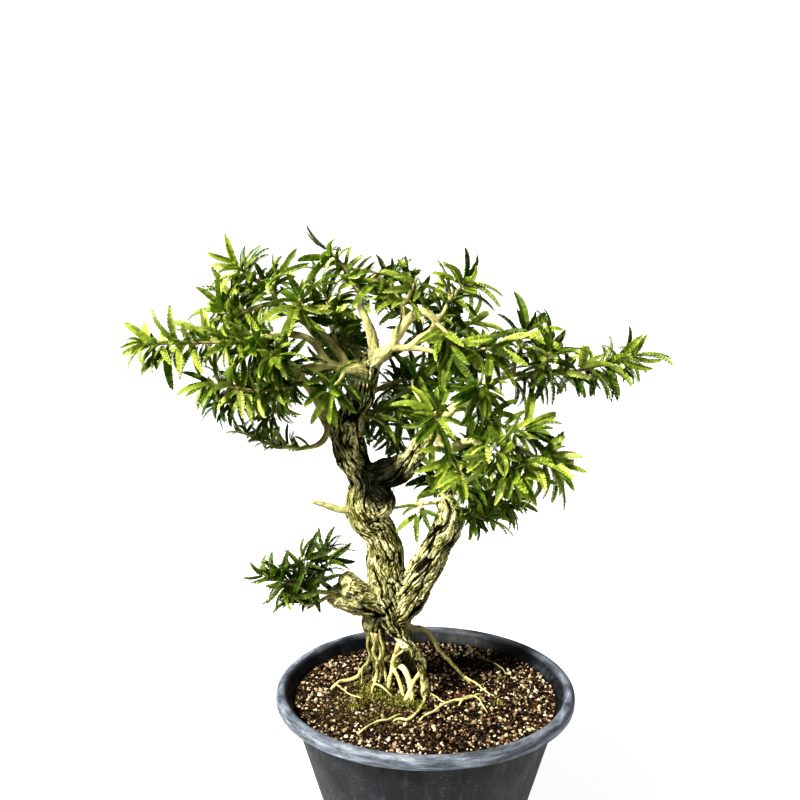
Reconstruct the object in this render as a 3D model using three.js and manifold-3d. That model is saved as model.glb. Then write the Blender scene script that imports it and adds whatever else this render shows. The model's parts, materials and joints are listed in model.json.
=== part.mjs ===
// A calliandra bonsai growing in a round plastic training pot.
// Millimetres, +Z up, +X to the right and +Y to the back as seen from the front.
// The origin is the centre of the underside of the pot.
import * as THREE from 'three';
import { mergeVertices } from 'three/addons/utils/BufferGeometryUtils.js';
import Module from 'manifold-3d';

// Driving dimensions of the pot
const potHeight = 150;
const potRimRadius = 130;
const potFootRadius = 77;
const potTaper = 0.29;
const potWall = 2.3;
const potFloor = 2.5;
const potRimDrop = 11;
const drainHoleRadius = 5;
const drainHoleCircle = 52;
const drainHoleCount = 6;

// Driving dimensions of the soil
const soilLevel = 139;
const soilMoundHeight = 6;
const soilMoundRadius = 48;
const soilMoundCentre = [-20, 5];
const soilBump = 1.6;

// Driving dimensions of the leaves
const bladeLength = 33;
const bladeWidth = 0.23;
const bladeThickness = 1.1;
const bladeBase = 0.4;
const stalkLength = 5.5;
const stalkHalfWidth = 0.75;
const stalkTaper = 0.72;
const goldenAngle = 2.4;
const leafShare = 0.75;
const shortestStem = 8;

// The foliage as the eye sees it from the front: corners of its outline on the plane y = 0
const eye = { x: -22, y: -897, z: 576 };
const canopyDepth = [-112, 148];
const canopyOutline = [
  [-264, 454], [-247, 464], [-236, 485], [-233, 503], [-217, 514], [-192, 517], [-174, 520], [-167, 535],
  [-158, 530], [-134, 529], [-119, 521], [-101, 524], [-95, 541], [-85, 539], [-66, 530], [-53, 516],
  [-24, 519], [-12, 506], [7, 503], [17, 519], [22, 537], [28, 530], [35, 523], [57, 521], [65, 505],
  [73, 491], [84, 475], [101, 472], [109, 457], [128, 447], [148, 445], [159, 455], [183, 457],
  [200, 459], [217, 448], [215, 440], [193, 433], [176, 424], [160, 413], [147, 407], [107, 410],
  [105, 400], [112, 376], [127, 374], [126, 362], [121, 349], [140, 338], [137, 326], [130, 310],
  [126, 298], [112, 301], [89, 285], [63, 286], [36, 286], [12, 271], [-5, 262], [-39, 280],
  [-68, 342], [-78, 357], [-131, 359], [-164, 375], [-180, 387], [-209, 396], [-231, 398],
  [-247, 431], [-263, 436],
];
const stumpOutline = [
  [-169, 257], [-155, 262], [-116, 266], [-104, 283], [-86, 293], [-63, 294], [-46, 262], [-57, 215],
  [-82, 218], [-117, 223], [-125, 215], [-133, 203], [-144, 220], [-159, 237], [-169, 250],
];

// Fits between neighbours
const touchGap = 0.35;
const soilGap = 0.45;
const leafGap = 0.5;
const roundSegments = 24;
const beadStep = 3;

const wasm = await Module();
wasm.setup();

// Seeded random numbers between 0 and 1, the same on every run
function seededRandom(seed) {
  let state = seed;
  return () => {
    state = (1664525 * state + 1013904223) % 4294967296;
    return state / 4294967296;
  };
}

// A closed geometry as a solid that can be joined and cut
function toSolid(geometry) {
  const bare = geometry.clone();
  bare.deleteAttribute('normal');
  bare.deleteAttribute('uv');
  const merged = mergeVertices(bare, 1e-4);
  const vertProperties = new Float32Array(merged.attributes.position.array);
  const triVerts = new Uint32Array(merged.index.array);
  return new wasm.Manifold(new wasm.Mesh({ numProp: 3, vertProperties, triVerts }));
}

// A solid as a geometry with flat shading
function toGeometry(solid) {
  const mesh = solid.getMesh();
  const geometry = new THREE.BufferGeometry();
  geometry.setAttribute('position', new THREE.BufferAttribute(mesh.vertProperties, 3));
  geometry.setIndex(new THREE.BufferAttribute(mesh.triVerts, 1));
  const flat = geometry.toNonIndexed();
  flat.computeVertexNormals();
  return flat;
}

// Points and triangles as a geometry
function facetedGeometry(points, faces) {
  const geometry = new THREE.BufferGeometry();
  const positions = points.flatMap((point) => [point.x, point.y, point.z]);
  geometry.setAttribute('position', new THREE.Float32BufferAttribute(positions, 3));
  geometry.setIndex(faces.flat());
  return geometry;
}

function joined(solids) {
  return solids.reduce((whole, next) => whole.add(next));
}

// The pot: a thin tapered tub whose rim is rolled over into a short skirt, open below
function potProfile() {
  const wallAt = (height) => potFootRadius + potTaper * height;
  const skirtFoot = potHeight - potRimDrop;
  return [
    [0, 0],
    [potFootRadius, 0],
    [wallAt(skirtFoot), skirtFoot],
    [potRimRadius - 9, potHeight - 4.5],
    [potRimRadius - 5, potHeight - 2.4],
    [potRimRadius - 2.6, potHeight - 6],
    [potRimRadius - 2.6, skirtFoot],
    [potRimRadius - 0.6, skirtFoot],
    [potRimRadius, potHeight - 5],
    [potRimRadius - 2.4, potHeight - 0.8],
    [potRimRadius - 6, potHeight],
    [potRimRadius - 8.7, potHeight - 1.6],
    [wallAt(skirtFoot) - potWall, skirtFoot],
    [potFootRadius + potTaper * potFloor - potWall, potFloor],
    [0, potFloor],
  ];
}

function makePot() {
  const profile = potProfile().map(([radius, height]) => new THREE.Vector2(radius, height));
  const tub = new THREE.LatheGeometry(profile, roundSegments);
  tub.rotateX(Math.PI / 2);
  let solid = toSolid(tub);
  for (let i = 0; i < drainHoleCount; i++) {
    const angle = (2 * Math.PI * (i + 0.5)) / drainHoleCount;
    const hole = new THREE.CylinderGeometry(drainHoleRadius, drainHoleRadius, 4 * potFloor, 8);
    hole.rotateX(Math.PI / 2);
    hole.translate(drainHoleCircle * Math.cos(angle), drainHoleCircle * Math.sin(angle), 0);
    solid = solid.subtract(toSolid(hole));
  }
  return solid;
}

// A tapered tube along a course of [point, radius] pairs, with flat ends square to the course.
// The rings turn with the course without twisting; flute draws every second corner inwards.
function tubeSolid(course, sides, options = {}) {
  const { flute = 0, twist = 0, startDirection = null } = options;
  const points = course.map(({ point }) => point);
  const tangents = points.map((point, i) => {
    const before = points[Math.max(i - 1, 0)];
    const after = points[Math.min(i + 1, points.length - 1)];
    return after.clone().sub(before).normalize();
  });
  if (startDirection) tangents[0].copy(startDirection);
  const level = Math.abs(tangents[0].z) < 0.9 ? new THREE.Vector3(0, 0, 1) : new THREE.Vector3(1, 0, 0);
  const normal = level.clone().cross(tangents[0]).normalize();
  const vertices = [];
  const faces = [];
  course.forEach(({ point, radius }, i) => {
    normal.addScaledVector(tangents[i], -normal.dot(tangents[i])).normalize();
    const binormal = tangents[i].clone().cross(normal);
    for (let k = 0; k < sides; k++) {
      const angle = (2 * Math.PI * k) / sides + twist * i;
      const reach = radius * (1 + (k % 2 ? -flute : flute));
      vertices.push(point.clone()
        .addScaledVector(normal, reach * Math.cos(angle))
        .addScaledVector(binormal, reach * Math.sin(angle)));
    }
  });
  for (let i = 0; i + 1 < course.length; i++) {
    for (let k = 0; k < sides; k++) {
      const a = i * sides + k;
      const b = i * sides + ((k + 1) % sides);
      faces.push([a, b, b + sides], [a, b + sides, a + sides]);
    }
  }
  const last = (course.length - 1) * sides;
  for (let k = 1; k + 1 < sides; k++) {
    faces.push([0, k + 1, k], [last, last + k, last + k + 1]);
  }
  return toSolid(facetedGeometry(vertices, faces));
}

// A course written as [x, y, z] or [x, y, z, radius] rows; missing radii run evenly between two values
function courseOf(rows, radii = []) {
  const [first, last] = radii;
  return rows.map(([x, y, z, radius], i) => ({
    point: new THREE.Vector3(x, y, z),
    radius: radius ?? first + ((last - first) * i) / (rows.length - 1),
  }));
}

// The trunks: the leaning main trunk, the second trunk on its right, the sawn stump on its left,
// the heavy limb that crosses to the right, the knot below it and the shaded limb on the left
const trunks = [
  {
    sides: 10, flute: 0.09, twist: 0.16,
    rows: [
      [-30, 2, 205, 10], [-31, 0, 221, 16], [-32, 0, 237, 16.5], [-34, -1, 257, 15.5],
      [-36, -2, 275, 14], [-42, -4, 291, 14], [-52, -6, 305, 13.5], [-55, -5, 318, 12],
      [-51, -3, 330, 11.5], [-56, 0, 342, 12], [-61, 2, 353, 13.5], [-65, 3, 367, 13.5],
      [-63, 2, 383, 11.5], [-59, 1, 396, 10.5], [-54, 0, 408, 11], [-52, -1, 420, 10.5],
      [-48, -2, 431, 9], [-44, -3, 440, 6.5],
    ],
  },
  {
    sides: 8, flute: 0.09, twist: -0.2,
    rows: [
      [-24, -2, 210, 10], [-15, -4, 228, 14], [-6, -7, 247, 13], [3, -9, 265, 12],
      [10, -11, 281, 11.5], [17, -12, 296, 11.5], [18, -11, 309, 9.5], [14, -9, 319, 6.5],
    ],
  },
  {
    sides: 9, flute: 0, twist: 0.1,
    rows: [[-34, -6, 218, 9], [-46, -8, 224, 12], [-58, -11, 232, 14], [-73, -15, 243, 15.5]],
  },
  {
    sides: 7, flute: 0, twist: 0.25,
    rows: [
      [-51, -2, 336, 9], [-37, -5, 340, 11.5], [-25, -8, 343, 11.5], [-15, -12, 352, 9.5],
      [-8, -16, 363, 7.5], [-1, -20, 373, 6.5], [6, -24, 382, 5.5],
    ],
  },
  {
    sides: 6, flute: 0,
    rows: [[-48, -6, 332, 6], [-38, -9, 324, 8], [-33, -8, 314, 6.5], [-42, -6, 305, 7]],
  },
  {
    sides: 6, flute: 0.06, twist: 0.2,
    rows: [
      [-63, 2, 357, 8], [-72, 6, 369, 8], [-79, 9, 383, 7], [-85, 11, 393, 6],
      [-92, 14, 402, 5], [-100, 24, 409, 4], [-111, 36, 417, 3.5], [-125, 48, 424, 3], [-142, 60, 433, 2.2],
    ],
    shoot: { name: 'shoot_back_left', rows: [[-157, 68, 440], [-172, 76, 444], [-186, 82, 446]], leaves: 4 },
  },
];

// The branches: course from root to tip, radius at both ends, and the leafy shoot that goes on from the tip
const branches = [
  {
    rows: [[-50, -4, 424], [-57, -9, 429], [-67, -12, 429], [-79, -15, 434], [-91, -18, 432], [-103, -21, 430],
      [-114, -24, 434]],
    radii: [6, 4],
  },
  {
    rows: [[-80, -15, 433], [-88, -18, 447], [-97, -22, 457], [-109, -26, 460], [-125, -31, 459], [-140, -35, 458]],
    radii: [4.6, 2.2],
    shoot: {
      name: 'shoot_long_left', leaves: 8,
      rows: [[-152, -38, 456], [-174, -44, 456], [-204, -50, 456], [-238, -56, 458]],
    },
  },
  {
    rows: [[-63, -10, 429], [-73, -9, 444], [-82, -8, 455], [-90, -7, 461], [-101, -5, 468], [-112, -3, 475],
      [-122, -1, 482], [-127, 1, 493], [-135, 3, 498], [-144, 5, 503]],
    radii: [4.5, 1.8],
    shoot: { name: 'shoot_up_left', rows: [[-152, 6, 510], [-159, 7, 518], [-166, 7, 529]], leaves: 5 },
  },
  {
    rows: [[-122, -1, 482], [-134, -8, 481], [-147, -14, 477], [-158, -18, 475]],
    radii: [2.2, 1.5],
    shoot: { name: 'shoot_fan', rows: [[-172, -20, 478], [-181, -22, 483], [-188, -24, 488]], leaves: 5, size: 1.15 },
  },
  {
    rows: [[-147, -14, 477], [-154, 2, 480], [-161, 10, 482]],
    radii: [1.6, 1.3],
    shoot: { name: 'shoot_inner_fan', rows: [[-168, 18, 486], [-176, 24, 492]], leaves: 3 },
  },
  {
    rows: [[-127, 1, 493], [-123, -4, 499]],
    radii: [1.7, 1.4],
    shoot: { name: 'shoot_left_crown', rows: [[-118, -7, 507], [-115, -9, 516]], leaves: 3 },
  },
  {
    rows: [[-101, -5, 468], [-102, -16, 476], [-102, -24, 482]],
    radii: [2, 1.5],
    shoot: { name: 'shoot_hanging', rows: [[-100, -31, 490], [-98, -36, 498]], leaves: 3, size: 1.1 },
  },
  {
    rows: [[-129, -32, 459], [-134, -40, 453]],
    radii: [1.7, 1.4],
    shoot: { name: 'shoot_below_long', rows: [[-139, -46, 446], [-144, -50, 438]], leaves: 3 },
  },
  {
    rows: [[-71, -9, 441], [-75, 2, 452], [-79, 7, 462], [-81, 10, 472]],
    radii: [2.4, 1.5],
    shoot: { name: 'shoot_grey', rows: [[-83, 12, 485], [-86, 14, 497], [-86, 16, 509]], leaves: 4, size: 1.1 },
  },
  {
    rows: [[-44, -4, 432], [-43, -4, 444], [-45, -3, 455], [-50, -1, 469], [-54, 1, 480], [-54, 3, 489],
      [-61, 6, 498], [-67, 8, 509], [-74, 9, 518]],
    radii: [6.5, 1.6],
    shoot: { name: 'shoot_leader', rows: [[-81, 10, 526], [-88, 10, 533]], leaves: 3 },
  },
  {
    rows: [[-54, 2, 487], [-48, 2, 495], [-44, 0, 503]],
    radii: [1.9, 1.4],
    shoot: { name: 'shoot_leader_fork', rows: [[-38, -3, 509], [-30, -6, 514]], leaves: 3 },
  },
  {
    rows: [[-43, -5, 434], [-29, -11, 449], [-23, -15, 460], [-16, -19, 470], [-9, -22, 476], [-2, -24, 478],
      [3, -25, 475], [7, -26, 470]],
    radii: [6, 2.6],
  },
  {
    rows: [[-21, -16, 463], [-19, -14, 475], [-21, -12, 484], [-27, -9, 493], [-33, -6, 498]],
    radii: [3, 2],
    shoot: { name: 'shoot_right_up', rows: [[-39, -3, 503], [-46, 1, 509], [-52, 4, 513]], leaves: 3 },
  },
  {
    rows: [[-20, -12, 482], [-15, -18, 490], [-12, -22, 497]],
    radii: [1.9, 1.4],
    shoot: { name: 'shoot_right_up_fork', rows: [[-8, -25, 506], [-4, -27, 514]], leaves: 3 },
  },
  {
    rows: [[-28, -12, 448], [-15, -16, 448], [-6, -20, 457], [2, -23, 462], [7, -26, 471]],
    radii: [3.4, 2.5],
  },
  {
    rows: [[7, -26, 469], [13, -26, 479], [18, -25, 487], [24, -24, 495]],
    radii: [2.4, 1.7],
    shoot: { name: 'shoot_right_top', rows: [[28, -22, 502], [33, -20, 510], [37, -18, 517]], leaves: 5 },
  },
  {
    rows: [[18, -25, 487], [17, -18, 495]],
    radii: [1.6, 1.3],
    shoot: { name: 'shoot_spire', rows: [[17, -13, 503], [18, -9, 512], [21, -7, 521]], leaves: 2 },
  },
  {
    rows: [[7, -26, 470], [14, -32, 463], [17, -36, 457]],
    radii: [1.8, 1.4],
    shoot: { name: 'shoot_right_drop', rows: [[20, -40, 449], [22, -44, 441]], leaves: 3 },
  },
  {
    rows: [[-16, -16, 448], [-2, -20, 447], [10, -25, 445], [19, -29, 448], [30, -33, 448], [41, -37, 450]],
    radii: [3, 1.4],
    shoot: { name: 'shoot_right_mid', rows: [[52, -41, 451], [62, -45, 449], [73, -48, 445]], leaves: 4 },
  },
  {
    rows: [[4, -23, 379], [13, -27, 391], [20, -30, 400], [28, -31, 408], [37, -31, 413], [47, -30, 417],
      [56, -29, 423], [69, -27, 427], [84, -25, 427], [99, -23, 427]],
    radii: [5.5, 1.8],
    shoot: {
      name: 'shoot_long_right', leaves: 9,
      rows: [[115, -20, 428], [134, -17, 432], [157, -14, 440], [181, -12, 443], [193, -11, 439]],
    },
  },
  {
    rows: [[69, -27, 427], [71, -27, 440], [74, -25, 452]],
    radii: [1.6, 1.2],
    shoot: { name: 'shoot_riser', rows: [[78, -23, 463], [83, -20, 472]], leaves: 3 },
  },
  {
    rows: [[85, -25, 427], [90, -32, 435], [93, -37, 440]],
    radii: [1.6, 1.3],
    shoot: { name: 'shoot_long_front', rows: [[101, -42, 447], [108, -46, 451]], leaves: 3 },
  },
  {
    rows: [[95, -24, 427], [96, -14, 436], [96, -8, 443]],
    radii: [1.5, 1.2],
    shoot: { name: 'shoot_long_back', rows: [[98, -3, 450], [101, 2, 457]], leaves: 3 },
  },
  {
    rows: [[24, -31, 404], [38, -40, 406], [48, -46, 400], [57, -49, 391], [67, -51, 387]],
    radii: [2.3, 1.5],
    shoot: { name: 'shoot_east', rows: [[78, -52, 385], [88, -53, 386], [98, -53, 385]], leaves: 5 },
  },
  {
    rows: [[4, -23, 380], [10, -28, 373], [17, -34, 369], [26, -40, 374], [37, -45, 378], [47, -48, 380],
      [57, -51, 379], [66, -53, 376], [73, -55, 370]],
    radii: [5, 1.5],
    shoot: { name: 'shoot_lower_right', rows: [[78, -57, 362], [80, -60, 351], [81, -62, 339]], leaves: 4 },
  },
  {
    rows: [[70, -54, 373], [81, -50, 367], [90, -46, 364]],
    radii: [1.5, 1.3],
    shoot: { name: 'shoot_south_east', rows: [[100, -42, 358], [109, -38, 348], [115, -35, 338]], leaves: 4 },
  },
  {
    rows: [[36, -45, 378], [44, -52, 367], [51, -58, 361], [62, -63, 358]],
    radii: [1.7, 1.3],
    shoot: { name: 'shoot_south', rows: [[71, -67, 356], [77, -70, 349]], leaves: 2 },
  },
  {
    rows: [[17, -34, 369], [20, -44, 363], [23, -50, 357]],
    radii: [1.8, 1.4],
    shoot: { name: 'shoot_inner_south', rows: [[28, -55, 352], [32, -58, 344]], leaves: 3 },
  },
  {
    rows: [[15, -9, 316], [13, -4, 325], [8, 2, 333]],
    radii: [3.2, 1.8],
    shoot: { name: 'shoot_second_left', rows: [[5, 7, 340], [4, 12, 349]], leaves: 3 },
  },
  {
    rows: [[16, -9, 315], [24, 2, 327], [31, 12, 337], [36, 20, 347]],
    radii: [3.2, 1.8],
    shoot: { name: 'shoot_second_right', rows: [[42, 28, 356], [49, 36, 363], [55, 42, 370]], leaves: 4 },
  },
  {
    rows: [[22, -12, 303], [35, -18, 309], [44, -22, 315], [52, -25, 323]],
    radii: [2.6, 1.5],
    shoot: { name: 'shoot_low_east', rows: [[60, -28, 330], [69, -31, 338], [75, -33, 344]], leaves: 3 },
  },
  {
    rows: [[44, -22, 315], [56, -14, 314], [65, -7, 315]],
    radii: [1.6, 1.2],
    shoot: { name: 'shoot_low_back', rows: [[74, 0, 315], [84, 6, 311]], leaves: 3 },
  },
  {
    rows: [[36, -18, 309], [41, -26, 309]],
    radii: [1.4, 1.2],
    shoot: { name: 'shoot_low_hang', rows: [[47, -31, 308], [52, -35, 306]], leaves: 2 },
  },
  {
    rows: [[13, -9, 317], [-3, -10, 315], [-17, -9, 313], [-28, -8, 311]],
    radii: [1.7, 1],
  },
  {
    rows: [[-4, -10, 315], [-5, -14, 313]],
    radii: [1.2, 1.1],
    shoot: { name: 'shoot_bridge', rows: [[-6, -17, 310]], leaves: 1, size: 0.85, foot: 1 },
  },
  {
    rows: [[-56, 3, 390], [-39, 2, 383], [-32, 2, 377], [-27, 2, 370]],
    radii: [1.4, 1],
    shoot: { name: 'shoot_wisp', rows: [[-22, 2, 365], [-16, 2, 366]], leaves: 2, size: 0.8 },
  },
  {
    rows: [[-52, 2, 391], [-39, 14, 389], [-27, 24, 388]],
    radii: [2, 1.4],
    shoot: { name: 'shoot_behind_right', rows: [[-15, 32, 389], [-5, 40, 392], [6, 46, 394]], leaves: 4 },
  },
  {
    rows: [[8, -24, 383], [3, -14, 394], [-5, -4, 402], [-10, 2, 409]],
    radii: [2.2, 1.4],
    shoot: { name: 'shoot_back_fan', rows: [[-12, 6, 416], [-14, 10, 424]], leaves: 3 },
  },
  {
    rows: [[-50, 2, 427], [-59, 24, 437], [-69, 42, 446], [-74, 56, 456]],
    radii: [4.2, 1.8],
    shoot: { name: 'shoot_back_up', rows: [[-76, 66, 466], [-74, 74, 477]], leaves: 3 },
  },
  {
    rows: [[-111, 36, 417], [-125, 44, 409], [-137, 50, 404]],
    radii: [1.9, 1.4],
    shoot: { name: 'shoot_back_left_low', rows: [[-151, 56, 403], [-164, 62, 406], [-177, 66, 407]], leaves: 3 },
  },
  {
    rows: [[-46, 0, 431], [-26, 26, 438], [-6, 46, 444], [15, 62, 450], [33, 74, 454]],
    radii: [4.4, 1.8],
    shoot: { name: 'shoot_back_right', rows: [[48, 82, 457], [63, 90, 459]], leaves: 3 },
  },
  {
    rows: [[-6, 46, 444], [-3, 56, 456], [-1, 63, 466]],
    radii: [2, 1.4],
    shoot: { name: 'shoot_back_right_up', rows: [[-3, 70, 476], [-8, 76, 486]], leaves: 3 },
  },
  {
    rows: [[15, 62, 450], [26, 72, 438], [35, 80, 428]],
    radii: [1.9, 1.4],
    shoot: { name: 'shoot_back_right_low', rows: [[45, 86, 418], [56, 92, 410]], leaves: 3 },
  },
  {
    rows: [[-56, 3, 401], [-41, 30, 405], [-25, 50, 408], [-8, 66, 411]],
    radii: [4.2, 1.8],
    shoot: { name: 'shoot_back_east', rows: [[7, 76, 411], [21, 84, 407], [34, 90, 403]], leaves: 3 },
  },
  {
    rows: [[-25, 50, 408], [-24, 62, 395]],
    radii: [1.7, 1.4],
    shoot: { name: 'shoot_back_low', rows: [[-27, 72, 384], [-33, 82, 375]], leaves: 3 },
  },
  {
    rows: [[-53, 4, 421], [-56, 36, 431], [-61, 64, 438], [-65, 86, 442]],
    radii: [4, 1.7],
    shoot: { name: 'shoot_rear', rows: [[-71, 102, 447], [-76, 116, 454]], leaves: 3 },
  },
  {
    rows: [[-56, 36, 431], [-69, 54, 425], [-81, 68, 419]],
    radii: [1.9, 1.4],
    shoot: { name: 'shoot_rear_left', rows: [[-94, 80, 417], [-107, 90, 419]], leaves: 3 },
  },
  {
    rows: [[-67, -13, 428], [-70, -22, 422], [-74, -28, 419]],
    radii: [2, 1.4],
    shoot: { name: 'shoot_pale_drop', rows: [[-80, -36, 418], [-87, -44, 417]], leaves: 3, size: 1.1 },
  },
  {
    rows: [[-101, -21, 430], [-104, -26, 423], [-111, -31, 418], [-123, -37, 418], [-135, -42, 417]],
    radii: [2.5, 1.5],
    shoot: {
      name: 'shoot_low_left', leaves: 6,
      rows: [[-148, -47, 420], [-166, -52, 424], [-180, -56, 424], [-194, -60, 425]],
    },
  },
  {
    rows: [[-123, -37, 418], [-132, -34, 412], [-142, -32, 409]],
    radii: [1.5, 1.2],
    shoot: { name: 'shoot_low_left_fork', rows: [[-155, -31, 407], [-170, -30, 403], [-182, -30, 402]],
      leaves: 3, size: 0.75 },
  },
  {
    rows: [[-111, -31, 418], [-117, -29, 409], [-122, -27, 399]],
    radii: [1.5, 1.2],
    shoot: { name: 'shoot_dropper', rows: [[-127, -27, 393], [-134, -27, 388], [-142, -27, 384]],
      leaves: 3, size: 0.75 },
  },
  {
    rows: [[-84, 11, 391], [-89, 8, 390], [-86, 4, 384], [-83, 0, 377], [-85, -4, 370], [-92, -8, 365],
      [-102, -10, 363], [-113, -12, 364], [-124, -13, 365]],
    radii: [4.4, 1.6],
    shoot: { name: 'shoot_curl', rows: [[-136, -14, 370], [-150, -16, 377], [-163, -18, 387]],
      leaves: 4, size: 0.75 },
  },
  {
    rows: [[-68, -14, 240], [-86, -20, 241], [-96, -24, 244], [-103, -27, 247], [-110, -30, 251]],
    radii: [3, 1.7],
    shoot: { name: 'shoot_stump', rows: [[-121, -34, 257], [-134, -38, 263], [-146, -42, 266]], leaves: 5 },
  },
  {
    rows: [[-103, -27, 247], [-103, -24, 257], [-103, -22, 263]],
    radii: [1.6, 1.3],
    shoot: { name: 'shoot_stump_riser', rows: [[-104, -20, 271], [-101, -18, 279]], leaves: 3 },
  },
  {
    rows: [[-95, -24, 244], [-88, -18, 253], [-84, -14, 262]],
    radii: [1.7, 1.3],
    shoot: { name: 'shoot_stump_tall', rows: [[-84, -11, 272], [-81, -9, 282], [-78, -8, 292]],
      leaves: 4, size: 0.85 },
  },
  {
    rows: [[-70, -15, 238], [-84, -18, 235], [-91, -22, 232], [-100, -27, 233], [-107, -32, 239]],
    radii: [2, 1.3],
    shoot: { name: 'shoot_stump_arc', rows: [[-114, -36, 245], [-123, -41, 249], [-132, -45, 248]], leaves: 3 },
  },
  {
    rows: [[-56, -6, 306], [-72, -13, 311], [-83, -17, 316], [-94, -20, 320]],
    radii: [3.2, 1.8],
  },
  {
    rows: [[6, -25, 384], [7, -36, 394]],
    radii: [1.9, 1.4],
    shoot: { name: 'shoot_front_right', rows: [[6, -44, 402], [5, -50, 411]], leaves: 3 },
  },
  {
    rows: [[37, -31, 413], [38, -42, 419], [39, -52, 424]],
    radii: [1.8, 1.4],
    shoot: { name: 'shoot_front_top', rows: [[41, -62, 429], [43, -72, 436]], leaves: 3 },
  },
  {
    rows: [[47, -48, 380], [50, -60, 377]],
    radii: [1.6, 1.3],
    shoot: { name: 'shoot_front_low', rows: [[54, -70, 374], [59, -80, 374]], leaves: 3 },
  },
  {
    rows: [[-113, -24, 433], [-115, -36, 439], [-119, -46, 445]],
    radii: [2, 1.4],
    shoot: { name: 'shoot_front_left', rows: [[-122, -56, 452], [-126, -66, 457]], leaves: 3 },
  },
];

// The roots: bared by the years, they stand above the soil and run down into it
const roots = [
  [[-34, -4, 219, 8], [-29, -8, 207, 6.5], [-19, -12, 196, 5.6], [-10, -13, 186, 5], [-4, -12, 172, 4.6],
    [-2, -12, 157, 4.3], [-1, -11, 142, 4], [0, -10, 124, 3]],
  [[-37, -2, 222, 10], [-44, 0, 208, 9.5], [-45, 3, 196, 7.5], [-40, 8, 181, 6], [-39, 12, 169, 5.5],
    [-41, 14, 154, 6], [-42, 15, 141, 5.5], [-43, 16, 122, 3.5]],
  [[-36, 6, 213, 8], [-40, 16, 195, 6], [-43, 26, 176, 5], [-47, 37, 157, 4.6], [-49, 46, 141, 4], [-50, 53, 126, 3]],
  [[-40, 12, 171, 3.4], [-29, 4, 169, 3], [-19, -6, 165, 2.8], [-13, -16, 156, 2.6], [-12, -22, 143, 2.4],
    [-11, -25, 128, 1.8]],
  [[-20, -11, 196, 2.6], [-26, -8, 181, 2.4], [-28, -5, 168, 2.3], [-30, -2, 155, 2.2], [-32, 0, 141, 2],
    [-33, 1, 128, 1.6]],
  [[-28, -5, 166, 2], [-22, -12, 155, 1.9], [-19, -17, 142, 1.8], [-17, -21, 128, 1.5]],
  [[-4, -12, 168, 2.2], [-12, -19, 155, 2], [-19, -25, 141, 1.9], [-23, -29, 129, 1.5]],
  [[-22, 0, 212, 5], [-13, 2, 201, 3.6], [-1, 6, 197, 3.2], [7, 8, 189, 2.8], [13, 12, 174, 2.4],
    [26, 18, 157, 2.1], [39, 22, 141, 1.9], [48, 26, 130, 1.5]],
  [[-42, 14, 172, 2.6], [-54, 21, 155, 2.2], [-62, 24, 143, 2], [-74, 20, 142, 1.8], [-83, 9, 139, 1.6],
    [-90, 2, 131, 1.3]],
  [[-26, 8, 210, 7], [-18, 20, 190, 5.2], [-14, 32, 168, 4.4], [-10, 44, 141, 3.8], [-8, 52, 126, 3]],
];

function trunkSolids() {
  return trunks.map(({ rows, sides, flute, twist }) => tubeSolid(courseOf(rows), sides, { flute, twist }));
}

function sidesFor(radius) {
  return radius > 4 ? 5 : 4;
}

function branchSolids() {
  return branches.map(({ rows, radii }) => tubeSolid(courseOf(rows, radii), sidesFor(radii[0])));
}

function rootSolid(rows, gap = 0) {
  const course = courseOf(rows);
  course.forEach((ring) => { ring.radius += gap; });
  const end = course[course.length - 1].point;
  const before = course[course.length - 2].point;
  end.addScaledVector(end.clone().sub(before).normalize(), gap);
  return tubeSolid(course, rows[0][3] > 4 ? 5 : 4);
}

function makeWood() {
  return joined([...trunkSolids(), ...branchSolids(), ...roots.map((rows) => rootSolid(rows))]);
}

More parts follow.
